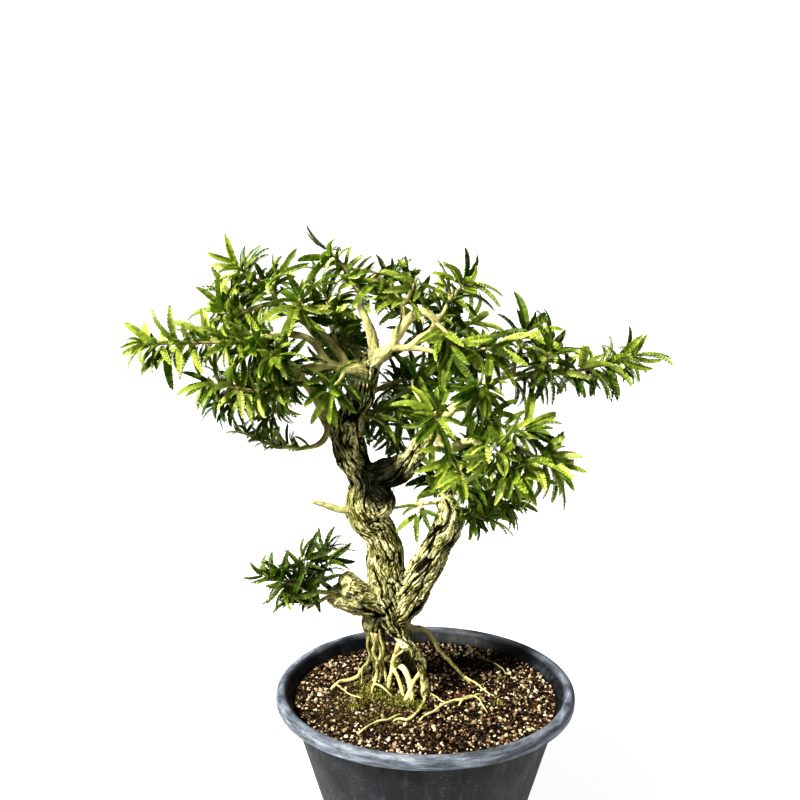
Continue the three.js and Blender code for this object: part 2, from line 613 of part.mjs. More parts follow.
// The soil: it fills the pot to just under the rim, heaped a little round the tree, rough on top,
// with a hole for every root
function makeSoil() {
  const random = seededRandom(11);
  const ringCount = 6;
  const wallAt = (height) => potFootRadius + potTaper * height - potWall - touchGap;
  const topRadius = wallAt(soilLevel);
  const [moundX, moundY] = soilMoundCentre;
  const points = [new THREE.Vector3(0, 0, 0)];
  const faces = [];
  for (let ring = 1; ring <= ringCount; ring++) {
    for (let k = 0; k < roundSegments; k++) {
      const isEdge = ring === ringCount;
      const wander = isEdge ? 0 : (random() - 0.5) * 0.5;
      const angle = (2 * Math.PI * (k + (isEdge ? 0 : 0.5 * (ring % 2)))) / roundSegments;
      const radius = (topRadius * (ring + wander)) / ringCount;
      points.push(new THREE.Vector3(radius * Math.sin(angle), -radius * Math.cos(angle), 0));
    }
  }
  points.forEach((point, i) => {
    const isEdge = i > (ringCount - 1) * roundSegments;
    const away = Math.hypot(point.x - moundX, point.y - moundY) / soilMoundRadius;
    const bump = isEdge ? 0 : (random() - 0.5) * 2 * soilBump;
    point.z = soilLevel + (isEdge ? 0 : soilMoundHeight * Math.exp(-away * away)) + bump;
  });
  const at = (ring, k) => (ring === 0 ? 0 : 1 + (ring - 1) * roundSegments + ((k + roundSegments) % roundSegments));
  for (let ring = 1; ring <= ringCount; ring++) {
    for (let k = 0; k < roundSegments; k++) {
      faces.push([at(ring - 1, k), at(ring, k), at(ring, k + 1)]);
      if (ring > 1) faces.push([at(ring - 1, k), at(ring, k + 1), at(ring - 1, k + 1)]);
    }
  }
  const firstFloor = points.length;
  const floorHeight = potFloor + touchGap;
  const floorRadius = wallAt(floorHeight);
  for (let k = 0; k < roundSegments; k++) {
    const angle = (2 * Math.PI * k) / roundSegments;
    points.push(new THREE.Vector3(floorRadius * Math.sin(angle), -floorRadius * Math.cos(angle), floorHeight));
  }
  for (let k = 0; k < roundSegments; k++) {
    const next = (k + 1) % roundSegments;
    faces.push([at(ringCount, k), firstFloor + k, firstFloor + next]);
    faces.push([at(ringCount, k), firstFloor + next, at(ringCount, k + 1)]);
    if (k > 0 && k + 1 < roundSegments) faces.push([firstFloor, firstFloor + k + 1, firstFloor + k]);
  }
  let solid = toSolid(facetedGeometry(points, faces));
  for (const rows of roots) solid = solid.subtract(rootSolid(rows, soilGap));
  return solid;
}

// Where a leaf grows: its root on the stem, the way it points, the way its face looks,
// and the arched spines of its two blades
function leafPlan(root, axis, face, size, spread, droop) {
  const normal = face.clone().addScaledVector(axis, -face.dot(axis)).normalize();
  const side = normal.clone().cross(axis);
  const fork = root.clone().addScaledVector(axis, stalkLength * size);
  const length = bladeLength * size;
  const blades = [1, -1].map((hand) => {
    const heading = axis.clone().multiplyScalar(Math.cos(spread)).addScaledVector(side, hand * Math.sin(spread));
    const across = normal.clone().cross(heading).multiplyScalar(hand);
    const spine = (f) => fork.clone()
      .addScaledVector(heading, length * f)
      .addScaledVector(normal, -length * droop * f * f);
    return { hand, heading, across, spine };
  });
  return { root, axis, normal, side, fork, length, blades };
}

// Half the width of a blade at a fraction of its length
function bladeHalfWidth(length, f) {
  return 0.5 * bladeWidth * length * Math.sqrt(Math.sin(Math.PI * (0.12 + 0.84 * f)));
}

// One leaf: a short stalk that forks into two narrow arched blades, cut into leaflets down each side
function leafSolid(plan, leaflets) {
  const { root, axis, normal, side, fork, length, blades } = plan;
  const points = [];
  const faces = [];
  const put = (point, lift = 0) => points.push(point.clone().addScaledVector(normal, lift)) - 1;
  const face = (hand, a, b, c) => faces.push(hand > 0 ? [a, b, c] : [a, c, b]);
  const ridge = bladeThickness - bladeBase;
  const rootHalfWidth = stalkTaper * stalkHalfWidth;
  const rootLeft = put(root.clone().addScaledVector(side, rootHalfWidth), -stalkTaper * bladeBase);
  const rootRight = put(root.clone().addScaledVector(side, -rootHalfWidth), -stalkTaper * bladeBase);
  const rootTop = put(root, stalkTaper * ridge);
  const forkLeft = put(fork.clone().addScaledVector(side, stalkHalfWidth), -bladeBase);
  const forkRight = put(fork.clone().addScaledVector(side, -stalkHalfWidth), -bladeBase);
  const forkTop = put(fork, ridge);
  const crotch = put(fork.clone().addScaledVector(axis, 0.1 * length), -bladeBase);
  face(1, rootTop, forkTop, forkLeft);
  face(1, rootTop, forkLeft, rootLeft);
  face(1, rootTop, forkRight, forkTop);
  face(1, rootTop, rootRight, forkRight);
  face(1, rootLeft, forkLeft, forkRight);
  face(1, rootLeft, forkRight, rootRight);
  face(1, forkLeft, crotch, forkRight);
  face(1, rootLeft, rootRight, rootTop);
  for (const { hand, across, spine } of blades) {
    const apex = put(spine(1), -bladeBase);
    let outer = hand > 0 ? forkLeft : forkRight;
    let inner = crotch;
    let crest = forkTop;
    for (let j = 1; j <= leaflets; j++) {
      const tipAt = (0.96 * (j - 0.2)) / leaflets;
      const tipReach = bladeHalfWidth(length, tipAt);
      const outerTip = put(spine(tipAt).addScaledVector(across, tipReach), -bladeBase);
      const innerTip = put(spine(tipAt).addScaledVector(across, -tipReach), -bladeBase);
      if (j === leaflets) {
        face(hand, crest, outerTip, outer);
        face(hand, crest, apex, outerTip);
        face(hand, crest, inner, innerTip);
        face(hand, crest, innerTip, apex);
        face(hand, outer, outerTip, apex);
        face(hand, inner, apex, innerTip);
        face(hand, outer, apex, inner);
        break;
      }
      const notchAt = (0.96 * j) / leaflets;
      const notchReach = 0.6 * bladeHalfWidth(length, notchAt);
      const nextOuter = put(spine(notchAt).addScaledVector(across, notchReach), -bladeBase);
      const nextInner = put(spine(notchAt).addScaledVector(across, -notchReach), -bladeBase);
      const nextCrest = put(spine(notchAt), ridge);
      face(hand, crest, outerTip, outer);
      face(hand, crest, nextCrest, outerTip);
      face(hand, nextCrest, nextOuter, outerTip);
      face(hand, crest, inner, innerTip);
      face(hand, crest, innerTip, nextCrest);
      face(hand, nextCrest, innerTip, nextInner);
      face(hand, outer, outerTip, nextOuter);
      face(hand, inner, nextInner, innerTip);
      face(hand, outer, nextOuter, nextInner);
      face(hand, outer, nextInner, inner);
      outer = nextOuter;
      inner = nextInner;
      crest = nextCrest;
    }
  }
  return toSolid(facetedGeometry(points, faces));
}

// Beads strung along a course fill the space that a limb or a stem takes up
function beadsAlong(course, owner) {
  const beads = [];
  for (let i = 0; i + 1 < course.length; i++) {
    const from = course[i];
    const to = course[i + 1];
    const steps = Math.ceil(from.point.distanceTo(to.point) / beadStep);
    for (let k = 0; k <= steps; k++) {
      const f = k / steps;
      beads.push({
        centre: from.point.clone().lerp(to.point, f),
        radius: from.radius + (to.radius - from.radius) * f,
        owner,
      });
    }
  }
  return beads;
}

function leafBeads(plan, owner) {
  const beads = [];
  for (const { spine } of plan.blades) {
    for (let k = 1; k <= 6; k++) {
      beads.push({ centre: spine(k / 6), radius: 1.05 * bladeHalfWidth(plan.length, k / 6), owner });
    }
  }
  return beads;
}

function isClear(beads, taken) {
  return beads.every((bead) => taken.every((other) => {
    const room = bead.radius + other.radius + (other.owner === bead.owner ? 0 : leafGap);
    return bead.centre.distanceToSquared(other.centre) > room * room;
  }));
}

// Whether a point lies inside the outline that the foliage shows from the front
function insideFoliage(point) {
  if (point.y < canopyDepth[0] || point.y > canopyDepth[1]) return false;
  const scale = -eye.y / (point.y - eye.y);
  const x = eye.x + (point.x - eye.x) * scale;
  const z = eye.z + (point.z - eye.z) * scale;
  return [canopyOutline, stumpOutline].some((outline) => {
    let inside = false;
    outline.forEach(([x1, z1], i) => {
      const [x2, z2] = outline[(i + 1) % outline.length];
      if ((z1 > z) !== (z2 > z) && x < x1 + ((x2 - x1) * (z - z1)) / (z2 - z1)) inside = !inside;
    });
    return inside;
  });
}

// The point and direction at a distance along a course
function along(course, distance) {
  let left = distance;
  for (let i = 0; i + 1 < course.length; i++) {
    const from = course[i].point;
    const step = course[i + 1].point.clone().sub(from);
    const length = step.length();
    if (left <= length || i + 2 === course.length) {
      const direction = step.divideScalar(length);
      return { point: from.clone().addScaledVector(direction, Math.min(left, length)), direction };
    }
    left -= length;
  }
}

function courseLength(course) {
  let length = 0;
  for (let i = 0; i + 1 < course.length; i++) length += course[i].point.distanceTo(course[i + 1].point);
  return length;
}

// A course cut off at a length
function shortened(course, length) {
  const kept = [course[0]];
  let left = length;
  for (let i = 1; i < course.length; i++) {
    const step = course[i].point.distanceTo(course[i - 1].point);
    if (step >= left - 2) {
      const f = Math.min(left / step, 1);
      kept.push({
        point: course[i - 1].point.clone().lerp(course[i].point, f),
        radius: course[i - 1].radius + (course[i].radius - course[i - 1].radius) * f,
      });
      break;
    }
    kept.push(course[i]);
    left -= step;
  }
  return kept;
}

// The course of a shoot: it goes on square from the flat tip of its branch,
// and stops short of the shoot's last point so that the last leaf ends there
function shootCourse(limb) {
  const tip = limb.rows[limb.rows.length - 1];
  const before = limb.rows[limb.rows.length - 2];
  const direction = new THREE.Vector3(tip[0] - before[0], tip[1] - before[1], tip[2] - before[2]).normalize();
  const foot = new THREE.Vector3(tip[0], tip[1], tip[2]).addScaledVector(direction, touchGap);
  const radius = limb.radii ? limb.radii[1] : tip[3];
  const course = courseOf([[foot.x, foot.y, foot.z], ...limb.shoot.rows], [Math.max(0.9 * radius, 1.05), 0.95]);
  const leafReach = leafShare * (bladeLength + stalkLength) * (limb.shoot.size ?? 1);
  const length = Math.max(courseLength(course) - leafReach, shortestStem);
  return { course: shortened(course, length), direction };
}

// The leaves of one shoot, set by a seeded rule: they climb the stem in a spiral, the last one at its tip.
// A leaf that would cross something turns round the stem until it is clear, or is left out.
function shootLeaves(shoot, course, owner, taken) {
  const random = seededRandom(owner * 7919 + 101);
  const size = shoot.size ?? 1;
  const length = courseLength(course);
  const spiralStart = random() * 2 * Math.PI;
  const plans = [];
  for (let i = 0; i < shoot.leaves; i++) {
    const fromTip = (length * 0.86 * (i + (i ? 0.35 * (random() - 0.5) : 0))) / shoot.leaves;
    const { point, direction } = along(course, length - 1.2 - fromTip);
    const level = Math.abs(direction.z) < 0.92 ? new THREE.Vector3(0, 0, 1) : new THREE.Vector3(1, 0, 0);
    const sideways = level.clone().cross(direction).normalize();
    const upward = direction.clone().cross(sideways);
    const opening = i === 0 ? 0.15 + 0.25 * random() : 0.85 + 0.35 * random();
    const leafSize = size * (0.84 + 0.3 * random());
    const spread = 0.36 + 0.18 * random();
    const droop = 0.05 + 0.28 * random();
    const lean = new THREE.Vector3(random() - 0.5, random() - 0.5, random() - 0.5);
    const outward = new THREE.Vector3(point.x + 40, point.y, 0).normalize();
    const face = new THREE.Vector3(0, -0.35, 0.5).addScaledVector(outward, 0.5).addScaledVector(lean, 1.3);
    for (let attempt = 0; attempt < 14; attempt++) {
      const turn = spiralStart + i * goldenAngle + attempt * 0.55;
      const axis = direction.clone().multiplyScalar(Math.cos(opening))
        .addScaledVector(sideways, Math.sin(opening) * Math.cos(turn))
        .addScaledVector(upward, Math.sin(opening) * Math.sin(turn));
      axis.z -= i ? 0.2 : 0;
      axis.normalize();
      const plan = leafPlan(point, axis, face, leafSize, spread, droop);
      const beads = leafBeads(plan, owner);
      if (isClear(beads, taken) && plan.blades.every(({ spine }) => insideFoliage(spine(0.7)))) {
        taken.push(...beads);
        plans.push(plan);
        break;
      }
    }
  }
  return plans;
}

// Materials
const materials = {
  pot: new THREE.MeshStandardMaterial({ color: 0x23262b, roughness: 0.55, metalness: 0 }),
  soil: new THREE.MeshStandardMaterial({ color: 0x4a3526, roughness: 0.95, metalness: 0 }),
  bark: new THREE.MeshStandardMaterial({ color: 0xb8ad7c, roughness: 0.85, metalness: 0 }),
  leaf: new THREE.MeshStandardMaterial({ color: 0x6f9a2c, roughness: 0.5, metalness: 0 }),
};

const bonsai = new THREE.Group();

function addPiece(name, solid, material) {
  const mesh = new THREE.Mesh(toGeometry(solid), material);
  mesh.name = name;
  bonsai.add(mesh);
}

addPiece('pot', makePot(), materials.pot);
addPiece('soil', makeSoil(), materials.soil);
addPiece('wood', makeWood(), materials.bark);

// The shoots: every stem is laid out first, then each gets its leaves in the room that is left
const woodOwner = 0;
const taken = [];
for (const { rows } of trunks) taken.push(...beadsAlong(courseOf(rows), woodOwner));
for (const { rows, radii } of branches) taken.push(...beadsAlong(courseOf(rows, radii), woodOwner));
const shoots = [...trunks, ...branches].filter((limb) => limb.shoot).map((limb, i) => {
  const { course, direction } = shootCourse(limb);
  const owner = i + 1;
  taken.push(...beadsAlong(course, owner));
  return { shoot: limb.shoot, course, direction, owner };
});
for (const { shoot, course, direction, owner } of shoots) {
  const stem = tubeSolid(course, 3, { startDirection: direction });
  const leaves = shootLeaves(shoot, course, owner, taken).map((plan) => leafSolid(plan, 2));
  addPiece(shoot.name, joined([stem, ...leaves]), materials.leaf);
}

export default bonsai;
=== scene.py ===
import json
import math

import bmesh
import bpy
import numpy as np
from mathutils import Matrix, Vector

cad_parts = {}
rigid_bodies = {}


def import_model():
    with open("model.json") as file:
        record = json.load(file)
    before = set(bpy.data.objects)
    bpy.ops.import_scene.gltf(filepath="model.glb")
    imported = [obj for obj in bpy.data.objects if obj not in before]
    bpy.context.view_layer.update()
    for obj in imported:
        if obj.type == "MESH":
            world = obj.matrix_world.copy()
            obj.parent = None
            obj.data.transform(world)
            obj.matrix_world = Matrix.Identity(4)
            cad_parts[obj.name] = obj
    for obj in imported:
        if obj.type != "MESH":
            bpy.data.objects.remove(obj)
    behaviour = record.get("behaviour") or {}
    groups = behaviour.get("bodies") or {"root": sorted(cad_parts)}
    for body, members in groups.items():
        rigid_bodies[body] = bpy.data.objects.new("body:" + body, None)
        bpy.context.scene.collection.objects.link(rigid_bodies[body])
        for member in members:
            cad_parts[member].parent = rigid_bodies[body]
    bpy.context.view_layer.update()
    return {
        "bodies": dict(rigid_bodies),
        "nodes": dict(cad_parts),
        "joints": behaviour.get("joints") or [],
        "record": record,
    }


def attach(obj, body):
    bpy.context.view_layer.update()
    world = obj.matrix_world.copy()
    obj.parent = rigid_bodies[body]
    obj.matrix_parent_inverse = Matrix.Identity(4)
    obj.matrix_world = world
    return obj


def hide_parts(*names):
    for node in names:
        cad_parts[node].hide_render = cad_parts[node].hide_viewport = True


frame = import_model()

# The pot
# A round nursery pot, moulded in black plastic with a slight taper. Its rim is rolled over and
# hangs outside as a short skirt. Years outdoors have left it dusty and finely scratched.
MM = 0.001
POT_HEIGHT = 150
POT_FOOT_RADIUS = 77
POT_TAPER = 0.29
POT_WALL = 2.3
POT_FLOOR = 2.5
RIM_RADIUS = 130
SKIRT_FOOT = POT_HEIGHT - 11
DRAIN_HOLES = 6
DRAIN_RADIUS = 5
DRAIN_CIRCLE = 52


def wall_at(height):
    return POT_FOOT_RADIUS + POT_TAPER * height


# corner radius, height, and how far the moulder's tool rounds it
POT_CORNERS = [
    (0, 0, 0),
    (60, 0, 0),
    (POT_FOOT_RADIUS, 0, 2),
    (wall_at(60), 60, 0),
    (wall_at(122), 122, 0),
    (wall_at(SKIRT_FOOT), SKIRT_FOOT, 3),
    (RIM_RADIUS - 9, POT_HEIGHT - 4.5, 2),
    (RIM_RADIUS - 5, POT_HEIGHT - 2.4, 2),
    (RIM_RADIUS - 2.6, POT_HEIGHT - 6, 2),
    (RIM_RADIUS - 2.6, SKIRT_FOOT, 0.4),
    (RIM_RADIUS - 0.6, SKIRT_FOOT, 0.6),
    (RIM_RADIUS, POT_HEIGHT - 5, 4),
    (RIM_RADIUS - 2.4, POT_HEIGHT - 0.8, 3),
    (RIM_RADIUS - 6, POT_HEIGHT, 3),
    (RIM_RADIUS - 8.7, POT_HEIGHT - 1.6, 3),
    (wall_at(SKIRT_FOOT) - POT_WALL, SKIRT_FOOT, 3),
    (wall_at(122) - POT_WALL, 122, 0),
    (wall_at(60) - POT_WALL, 60, 0),
    (wall_at(POT_FLOOR) - POT_WALL, POT_FLOOR, 1.5),
    (60, POT_FLOOR, 0),
    (0, POT_FLOOR, 0),
]


def rounded_profile(corners, steps=4):
    """The corners as a smooth line: each one becomes a short curve of its own reach."""
    line = []
    for i, (radius, height, reach) in enumerate(corners):
        corner = np.array([radius, height], float)
        if reach == 0:
            line.append(corner)
            continue
        start, end = (
            corner + side * min(reach / np.linalg.norm(side), 0.48)
            for side in (np.array(corners[i + k][:2], float) - corner for k in (-1, 1))
        )
        for k in range(steps + 1):
            t = k / steps
            line.append(start * (1 - t) ** 2 + corner * 2 * t * (1 - t) + end * t * t)
    return line


def mesh_object(name, points, faces, smooth=True):
    """An object from points in millimetres and faces as corner numbers."""
    mesh = bpy.data.meshes.new(name)
    mesh.from_pydata((np.asarray(points, float) * MM).tolist(), [], faces, shade_flat=not smooth)
    mesh.update()
    made = bpy.data.objects.new(name, mesh)
    bpy.context.scene.collection.objects.link(made)
    return made


def turned(name, line, segments):
    """A shape turned about the pot's axis from a line that starts and ends on the axis."""
    points = []
    for radius, height in line:
        if radius < 1e-6:
            points.append((0, 0, height))
            continue
        for k in range(segments):
            angle = 2 * math.pi * k / segments
            points.append((radius * math.cos(angle), radius * math.sin(angle), height))
    faces = []
    inner = segments * (len(line) - 3)
    for k in range(segments):
        step = (k + 1) % segments
        faces.append((0, 1 + step, 1 + k))
        for ring in range(len(line) - 3):
            a = 1 + ring * segments
            faces.append((a + k, a + step, a + segments + step, a + segments + k))
        faces.append((1 + inner + k, 1 + inner + step, len(points) - 1))
    return mesh_object(name, points, faces)


def settled(made):
    """The object with its modifiers worked into a plain mesh."""
    graph = bpy.context.evaluated_depsgraph_get()
    mesh = bpy.data.meshes.new_from_object(made.evaluated_get(graph))
    made.modifiers.clear()
    made.data = mesh
    return made


def finished(made, node, material=None):
    """Puts a finished piece in the frame: on the one body, in place of its CAD node."""
    if material:
        made.data.materials.clear()
        made.data.materials.append(material)
    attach(made, "root")
    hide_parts(node)


class Socket:
    """A shader value that sums can be written with."""

    def __init__(self, nodes, socket):
        self.nodes, self.socket = nodes, socket

    def maths(self, operation, *values):
        return self.nodes.node("ShaderNodeMath", dict(enumerate(values)), operation=operation)

    def __add__(self, other):
        return self.maths("ADD", self, other)

    def __sub__(self, other):
        return self.maths("SUBTRACT", self, other)

    def __rsub__(self, other):
        return self.maths("SUBTRACT", other, self)

    def __mul__(self, other):
        return self.maths("MULTIPLY", self, other)

    def __abs__(self):
        return self.maths("ABSOLUTE", self)

    __radd__ = __add__
    __rmul__ = __mul__


class Nodes:
    """A node tree being made: one method adds every node, one feeds every socket."""

    def node(self, kind, sockets=None, output=0, **settings):
        made = self.tree.nodes.new(kind)
        for name, value in settings.items():
            setattr(made, name, value)
        for key, value in (sockets or {}).items():
            self.feed(made.inputs[key], value)
        return Socket(self, made.outputs[output])

    def feed(self, socket, value):
        if isinstance(value, Socket):
            self.tree.links.new(value.socket, socket)
        elif isinstance(value, tuple) and socket.type == "RGBA":
            socket.default_value = (*value, 1)
        else:
            socket.default_value = value


class Finish(Nodes):
    """A material being made."""

    def __init__(self, name, roughness=0.5, gloss=0.5):
        self.material = bpy.data.materials.new(name)
        self.material.use_nodes = True
        self.tree = self.material.node_tree
        self.shader = self.tree.nodes["Principled BSDF"]
        self.set("Roughness", roughness)
        self.set("Specular IOR Level", gloss)

    def set(self, name, value):
        self.feed(self.shader.inputs[name], value)

    def place(self, stretch=(1, 1, 1)):
        """Object coordinates, squeezed or stretched along the axes."""
        where = self.node("ShaderNodeTexCoord", output="Object")
        return self.node("ShaderNodeMapping", {"Vector": where, "Scale": stretch})

    def noise(self, where, scale, detail=3, roughness=0.55):
        sockets = {"Vector": where, "Scale": scale, "Detail": detail, "Roughness": roughness}
        return self.node("ShaderNodeTexNoise", sockets)

    def ramp(self, value, *stops):
        """A colour for the value: each stop is a place and a colour."""
        colour = self.node("ShaderNodeValToRGB", {0: value})
        ramp = colour.socket.node.color_ramp
        while len(ramp.elements) < len(stops):
            ramp.elements.new(1)
        for element, (place, shade) in zip(ramp.elements, stops):
            element.position, element.color = place, (*shade, 1)
        return colour

    def step(self, value, low, high):
        """0 below low, 1 above high and a straight slope between."""
        return self.node("ShaderNodeMapRange", {"Value": value, "From Min": low, "From Max": high})

    def blend(self, factor, first, second):
        sockets = {"Factor": factor, 6: first, 7: second}
        return self.node("ShaderNodeMix", sockets, 2, data_type="RGBA")

    def vector(self, operation, first, second=(0, 0, 0), output=0):
        sockets = {0: first, 1: second}
        return self.node("ShaderNodeVectorMath", sockets, output, operation=operation)

    def attribute(self, name, output="Fac"):
        return self.node("ShaderNodeAttribute", output=output, attribute_name=name)

    def bump(self, height, strength, distance):
        sockets = {"Height": height, "Strength": strength, "Distance": distance * MM}
        self.set("Normal", self.node("ShaderNodeBump", sockets))


def plastic_finish():
    """Black plastic under pale dust: thin and blotchy on the wall, thick and scuffed on the rim,
    whose pale streaks are partly dust and partly a painted sheen.
    """
    finish = Finish("pot_plastic", gloss=0.35)
    where = finish.place()
    blotches = finish.noise(where, 24, 5, 0.65)
    grime = finish.noise(finish.place((1, 1, 0.3)), 75, 5, 0.7)
    specks = finish.step(finish.noise(where, 520, 2), 0.64, 0.72)
    scuffs = finish.step(finish.noise(finish.place((1, 1, 16)), 48, 4, 0.6), 0.58, 0.7)
    height = finish.node("ShaderNodeSeparateXYZ", {0: where}, "Z")
    away = finish.vector("LENGTH", finish.vector("MULTIPLY", where, (1, 1, 0)), output="Value")
    rim = finish.step(height, 0.1375, 0.14) * finish.step(away, 0.1195, 0.1225)
    film = finish.step(blotches * 0.5 + grime * 0.5, 0.44, 0.7)
    wall = finish.blend(film, (0.0035, 0.0045, 0.006), (0.027, 0.032, 0.04))
    scuffed = scuffs * finish.step(blotches, 0.4, 0.6) * 0.4
    wall = finish.blend(scuffed, wall, (0.1, 0.112, 0.13))
    drips = finish.step(finish.noise(finish.place((1, 1, 0.1)), 130, 4, 0.6), 0.52, 0.68)
    wall = finish.blend(drips * finish.step(grime, 0.4, 0.6) * 0.35, wall, (0.09, 0.1, 0.115))
    # the rim's pale grey-blue streaks: partly dust and scuffs, partly a painted sheen
    streaks = finish.noise(finish.place((1, 1, 9)), 34, 5, 0.7)
    lip_dust_and_sheen = finish.ramp(
        streaks * 0.7 + blotches * 0.3,
        (0.36, (0.03, 0.035, 0.045)), (0.47, (0.1, 0.115, 0.14)),
        (0.56, (0.2, 0.22, 0.26)), (0.66, (0.42, 0.45, 0.5)),
    )
    dots = specks * finish.step(blotches, 0.4, 0.65) * 0.4
    finish.set("Base Color", finish.blend(dots, finish.blend(rim, wall, lip_dust_and_sheen), (0.4, 0.43, 0.46)))
    finish.set("Roughness", finish.step(grime, 0.35, 0.7) * 0.3 + 0.45)
    finish.bump(grime * 0.6 + specks * 0.5 + scuffs * 0.3, 0.4, 0.4)
    return finish.material


pot = turned("pot_tub", rounded_profile(POT_CORNERS), 144)
for i in range(DRAIN_HOLES):
    angle = 2 * math.pi * (i + 0.5) / DRAIN_HOLES
    drill = turned("drill", [(0, -4), (DRAIN_RADIUS, -4), (DRAIN_RADIUS, 8), (0, 8)], 24)
    middle = Vector((math.cos(angle), math.sin(angle), 0)) * DRAIN_CIRCLE * MM
    drill.data.transform(drill.matrix_world.Translation(middle))
    cut = pot.modifiers.new("drain", "BOOLEAN")
    cut.operation = "DIFFERENCE"
    cut.solver = "EXACT"
    cut.object = drill
    settled(pot)
    bpy.data.objects.remove(drill)
finished(pot, "pot", plastic_finish())

# The soil
# Sharp bonsai grit: broken pumice, fired clay and lava about 3 mm across over dark humus. It is
# heaped a little round the tree and pressed against the wall of the pot.
SOIL_LEVEL = 139
SOIL_MOUND = 6
SOIL_MOUND_RADIUS = 48
SOIL_MOUND_CENTRE = (-20, 5)
SOIL_GAP = 0.35
GRIT_REACH = 113.5
GRAIN_SHAPES = 6
GRAIN_SIZES = (1.2, 4.8)
GRAIN_SPACING = 1.7
GRAINS_PER_METRE = 260000.0
SPRIG_SIZES = (1.0, 3.4)
SPRIGS_PER_METRE = 430000.0


def rows_of(text):
    """Rows of numbers written as text, with commas between the rows."""
    return np.array([row.split() for row in text.split(",")], float)


def value_noise(points, seed):
    """Smooth random values between 0 and 1 that change over about one unit."""
    cell = np.floor(points).astype(np.int64)
    part = points - cell
    part = part * part * (3 - 2 * part)
    total = np.zeros(len(points))
    for corner in range(8):
        step = np.array([corner & 1, corner >> 1 & 1, corner >> 2 & 1])
        key = (cell + step) @ np.array([73856093, 19349663, 83492791]) + seed * 1013904223
        key = ((key ^ (key >> 13)) * 1274126177) & 0x7FFFFFFF
        key = ((key ^ (key >> 15)) * 668265263) & 0x7FFFFFFF
        weight = np.prod(np.where(step, part, 1 - part), axis=1)
        total += weight * ((key >> 8) & 0xFFFF) / 65535
    return total


def soil_height(x, y):
    """Height of the humus under the grit."""
    x, y = np.atleast_1d(np.asarray(x, float)), np.atleast_1d(np.asarray(y, float))
    away = np.hypot(x - SOIL_MOUND_CENTRE[0], y - SOIL_MOUND_CENTRE[1]) / SOIL_MOUND_RADIUS
    flat = np.zeros_like(x)
    waves = value_noise(np.column_stack([x, y, flat]) / 17, 1) - 0.5
    lumps = value_noise(np.column_stack([x, y, flat]) / 5, 2) - 0.5
    edge = np.clip((113 - np.hypot(x, y)) / 8, 0, 1)
    return SOIL_LEVEL + (SOIL_MOUND * np.exp(-away * away) + 2.4 * waves + 1.2 * lumps) * edge - 0.8


def ground(name, reach, rings, segments, foot=None):
    """The ground as rings of points round the axis. A foot, radius and height, closes it below."""
    angles = 2 * math.pi * np.arange(segments) / segments
    radii = np.repeat(reach * np.arange(1, rings + 1) / rings, segments)
    x, y = radii * np.tile(np.cos(angles), rings), radii * np.tile(np.sin(angles), rings)
    points = [(0, 0, soil_height(0, 0)[0])] + np.column_stack([x, y, soil_height(x, y)]).tolist()
    if foot:
        points += [(foot[0] * math.cos(a), foot[0] * math.sin(a), foot[1]) for a in angles]
        rings += 1
    faces = []
    for k in range(segments):
        step = (k + 1) % segments
        faces.append((0, 1 + k, 1 + step))
        for a in range(1, 1 + (rings - 1) * segments, segments):
            faces.append((a + k, a + segments + k, a + segments + step, a + step))
    if foot:
        faces.append(tuple(reversed(range(len(points) - segments, len(points)))))
    return mesh_object(name, points, faces)


def inside_pot(height):
    return wall_at(height) - POT_WALL - SOIL_GAP


def humus_finish():
    """Dark moist humus, almost black, with rusty and grey crumbs."""
    finish = Finish("humus", 0.95, 0.1)
    where = finish.place()
    crumbs = finish.noise(where, 420, 4, 0.7)
    patches = finish.noise(where, 60, 2)
    dark = finish.ramp(
        crumbs,
        (0.4, (0.005, 0.003, 0.002)), (0.52, (0.03, 0.02, 0.012)), (0.66, (0.2, 0.15, 0.1)),
    )
    dark_patch = finish.step(patches, 0.4, 0.7) * 0.4
    finish.set("Base Color", finish.blend(dark_patch, dark, (0.012, 0.008, 0.005)))
    finish.bump(crumbs, 0.9, 1.5)
    return finish.material


soil_foot = POT_FLOOR + SOIL_GAP
soil = ground("soil_humus", inside_pot(SOIL_LEVEL), 58, 180, (inside_pot(soil_foot), soil_foot))
finished(soil, "soil", humus_finish())


def grain(name, seed):
    """One broken stone about 1 mm across: an icosahedron with its corners pushed in and out."""
    random = np.random.default_rng(seed)
    golden = (1 + math.sqrt(5)) / 2
    corners = []
    for a in (-1, 1):
        for b in (-golden, golden):
            corners += [(0, a, b), (a, b, 0), (b, 0, a)]
    corners = np.array(corners) / math.hypot(1, golden)
    hull = bpy.data.meshes.new(name)
    shape = bmesh.new()
    for corner in corners * random.uniform(0.5, 1.2, (12, 1)) * random.uniform(0.8, 1.1, 3):
        shape.verts.new(corner * 0.5 * MM)
    bmesh.ops.convex_hull(shape, input=shape.verts)
    loose = [v for v in shape.verts if not v.link_faces]
    bmesh.ops.delete(shape, geom=loose, context="VERTS")
    bmesh.ops.recalc_face_normals(shape, faces=shape.faces)
    shape.to_mesh(hull)
    shape.free()
    return bpy.data.objects.new(name, hull)


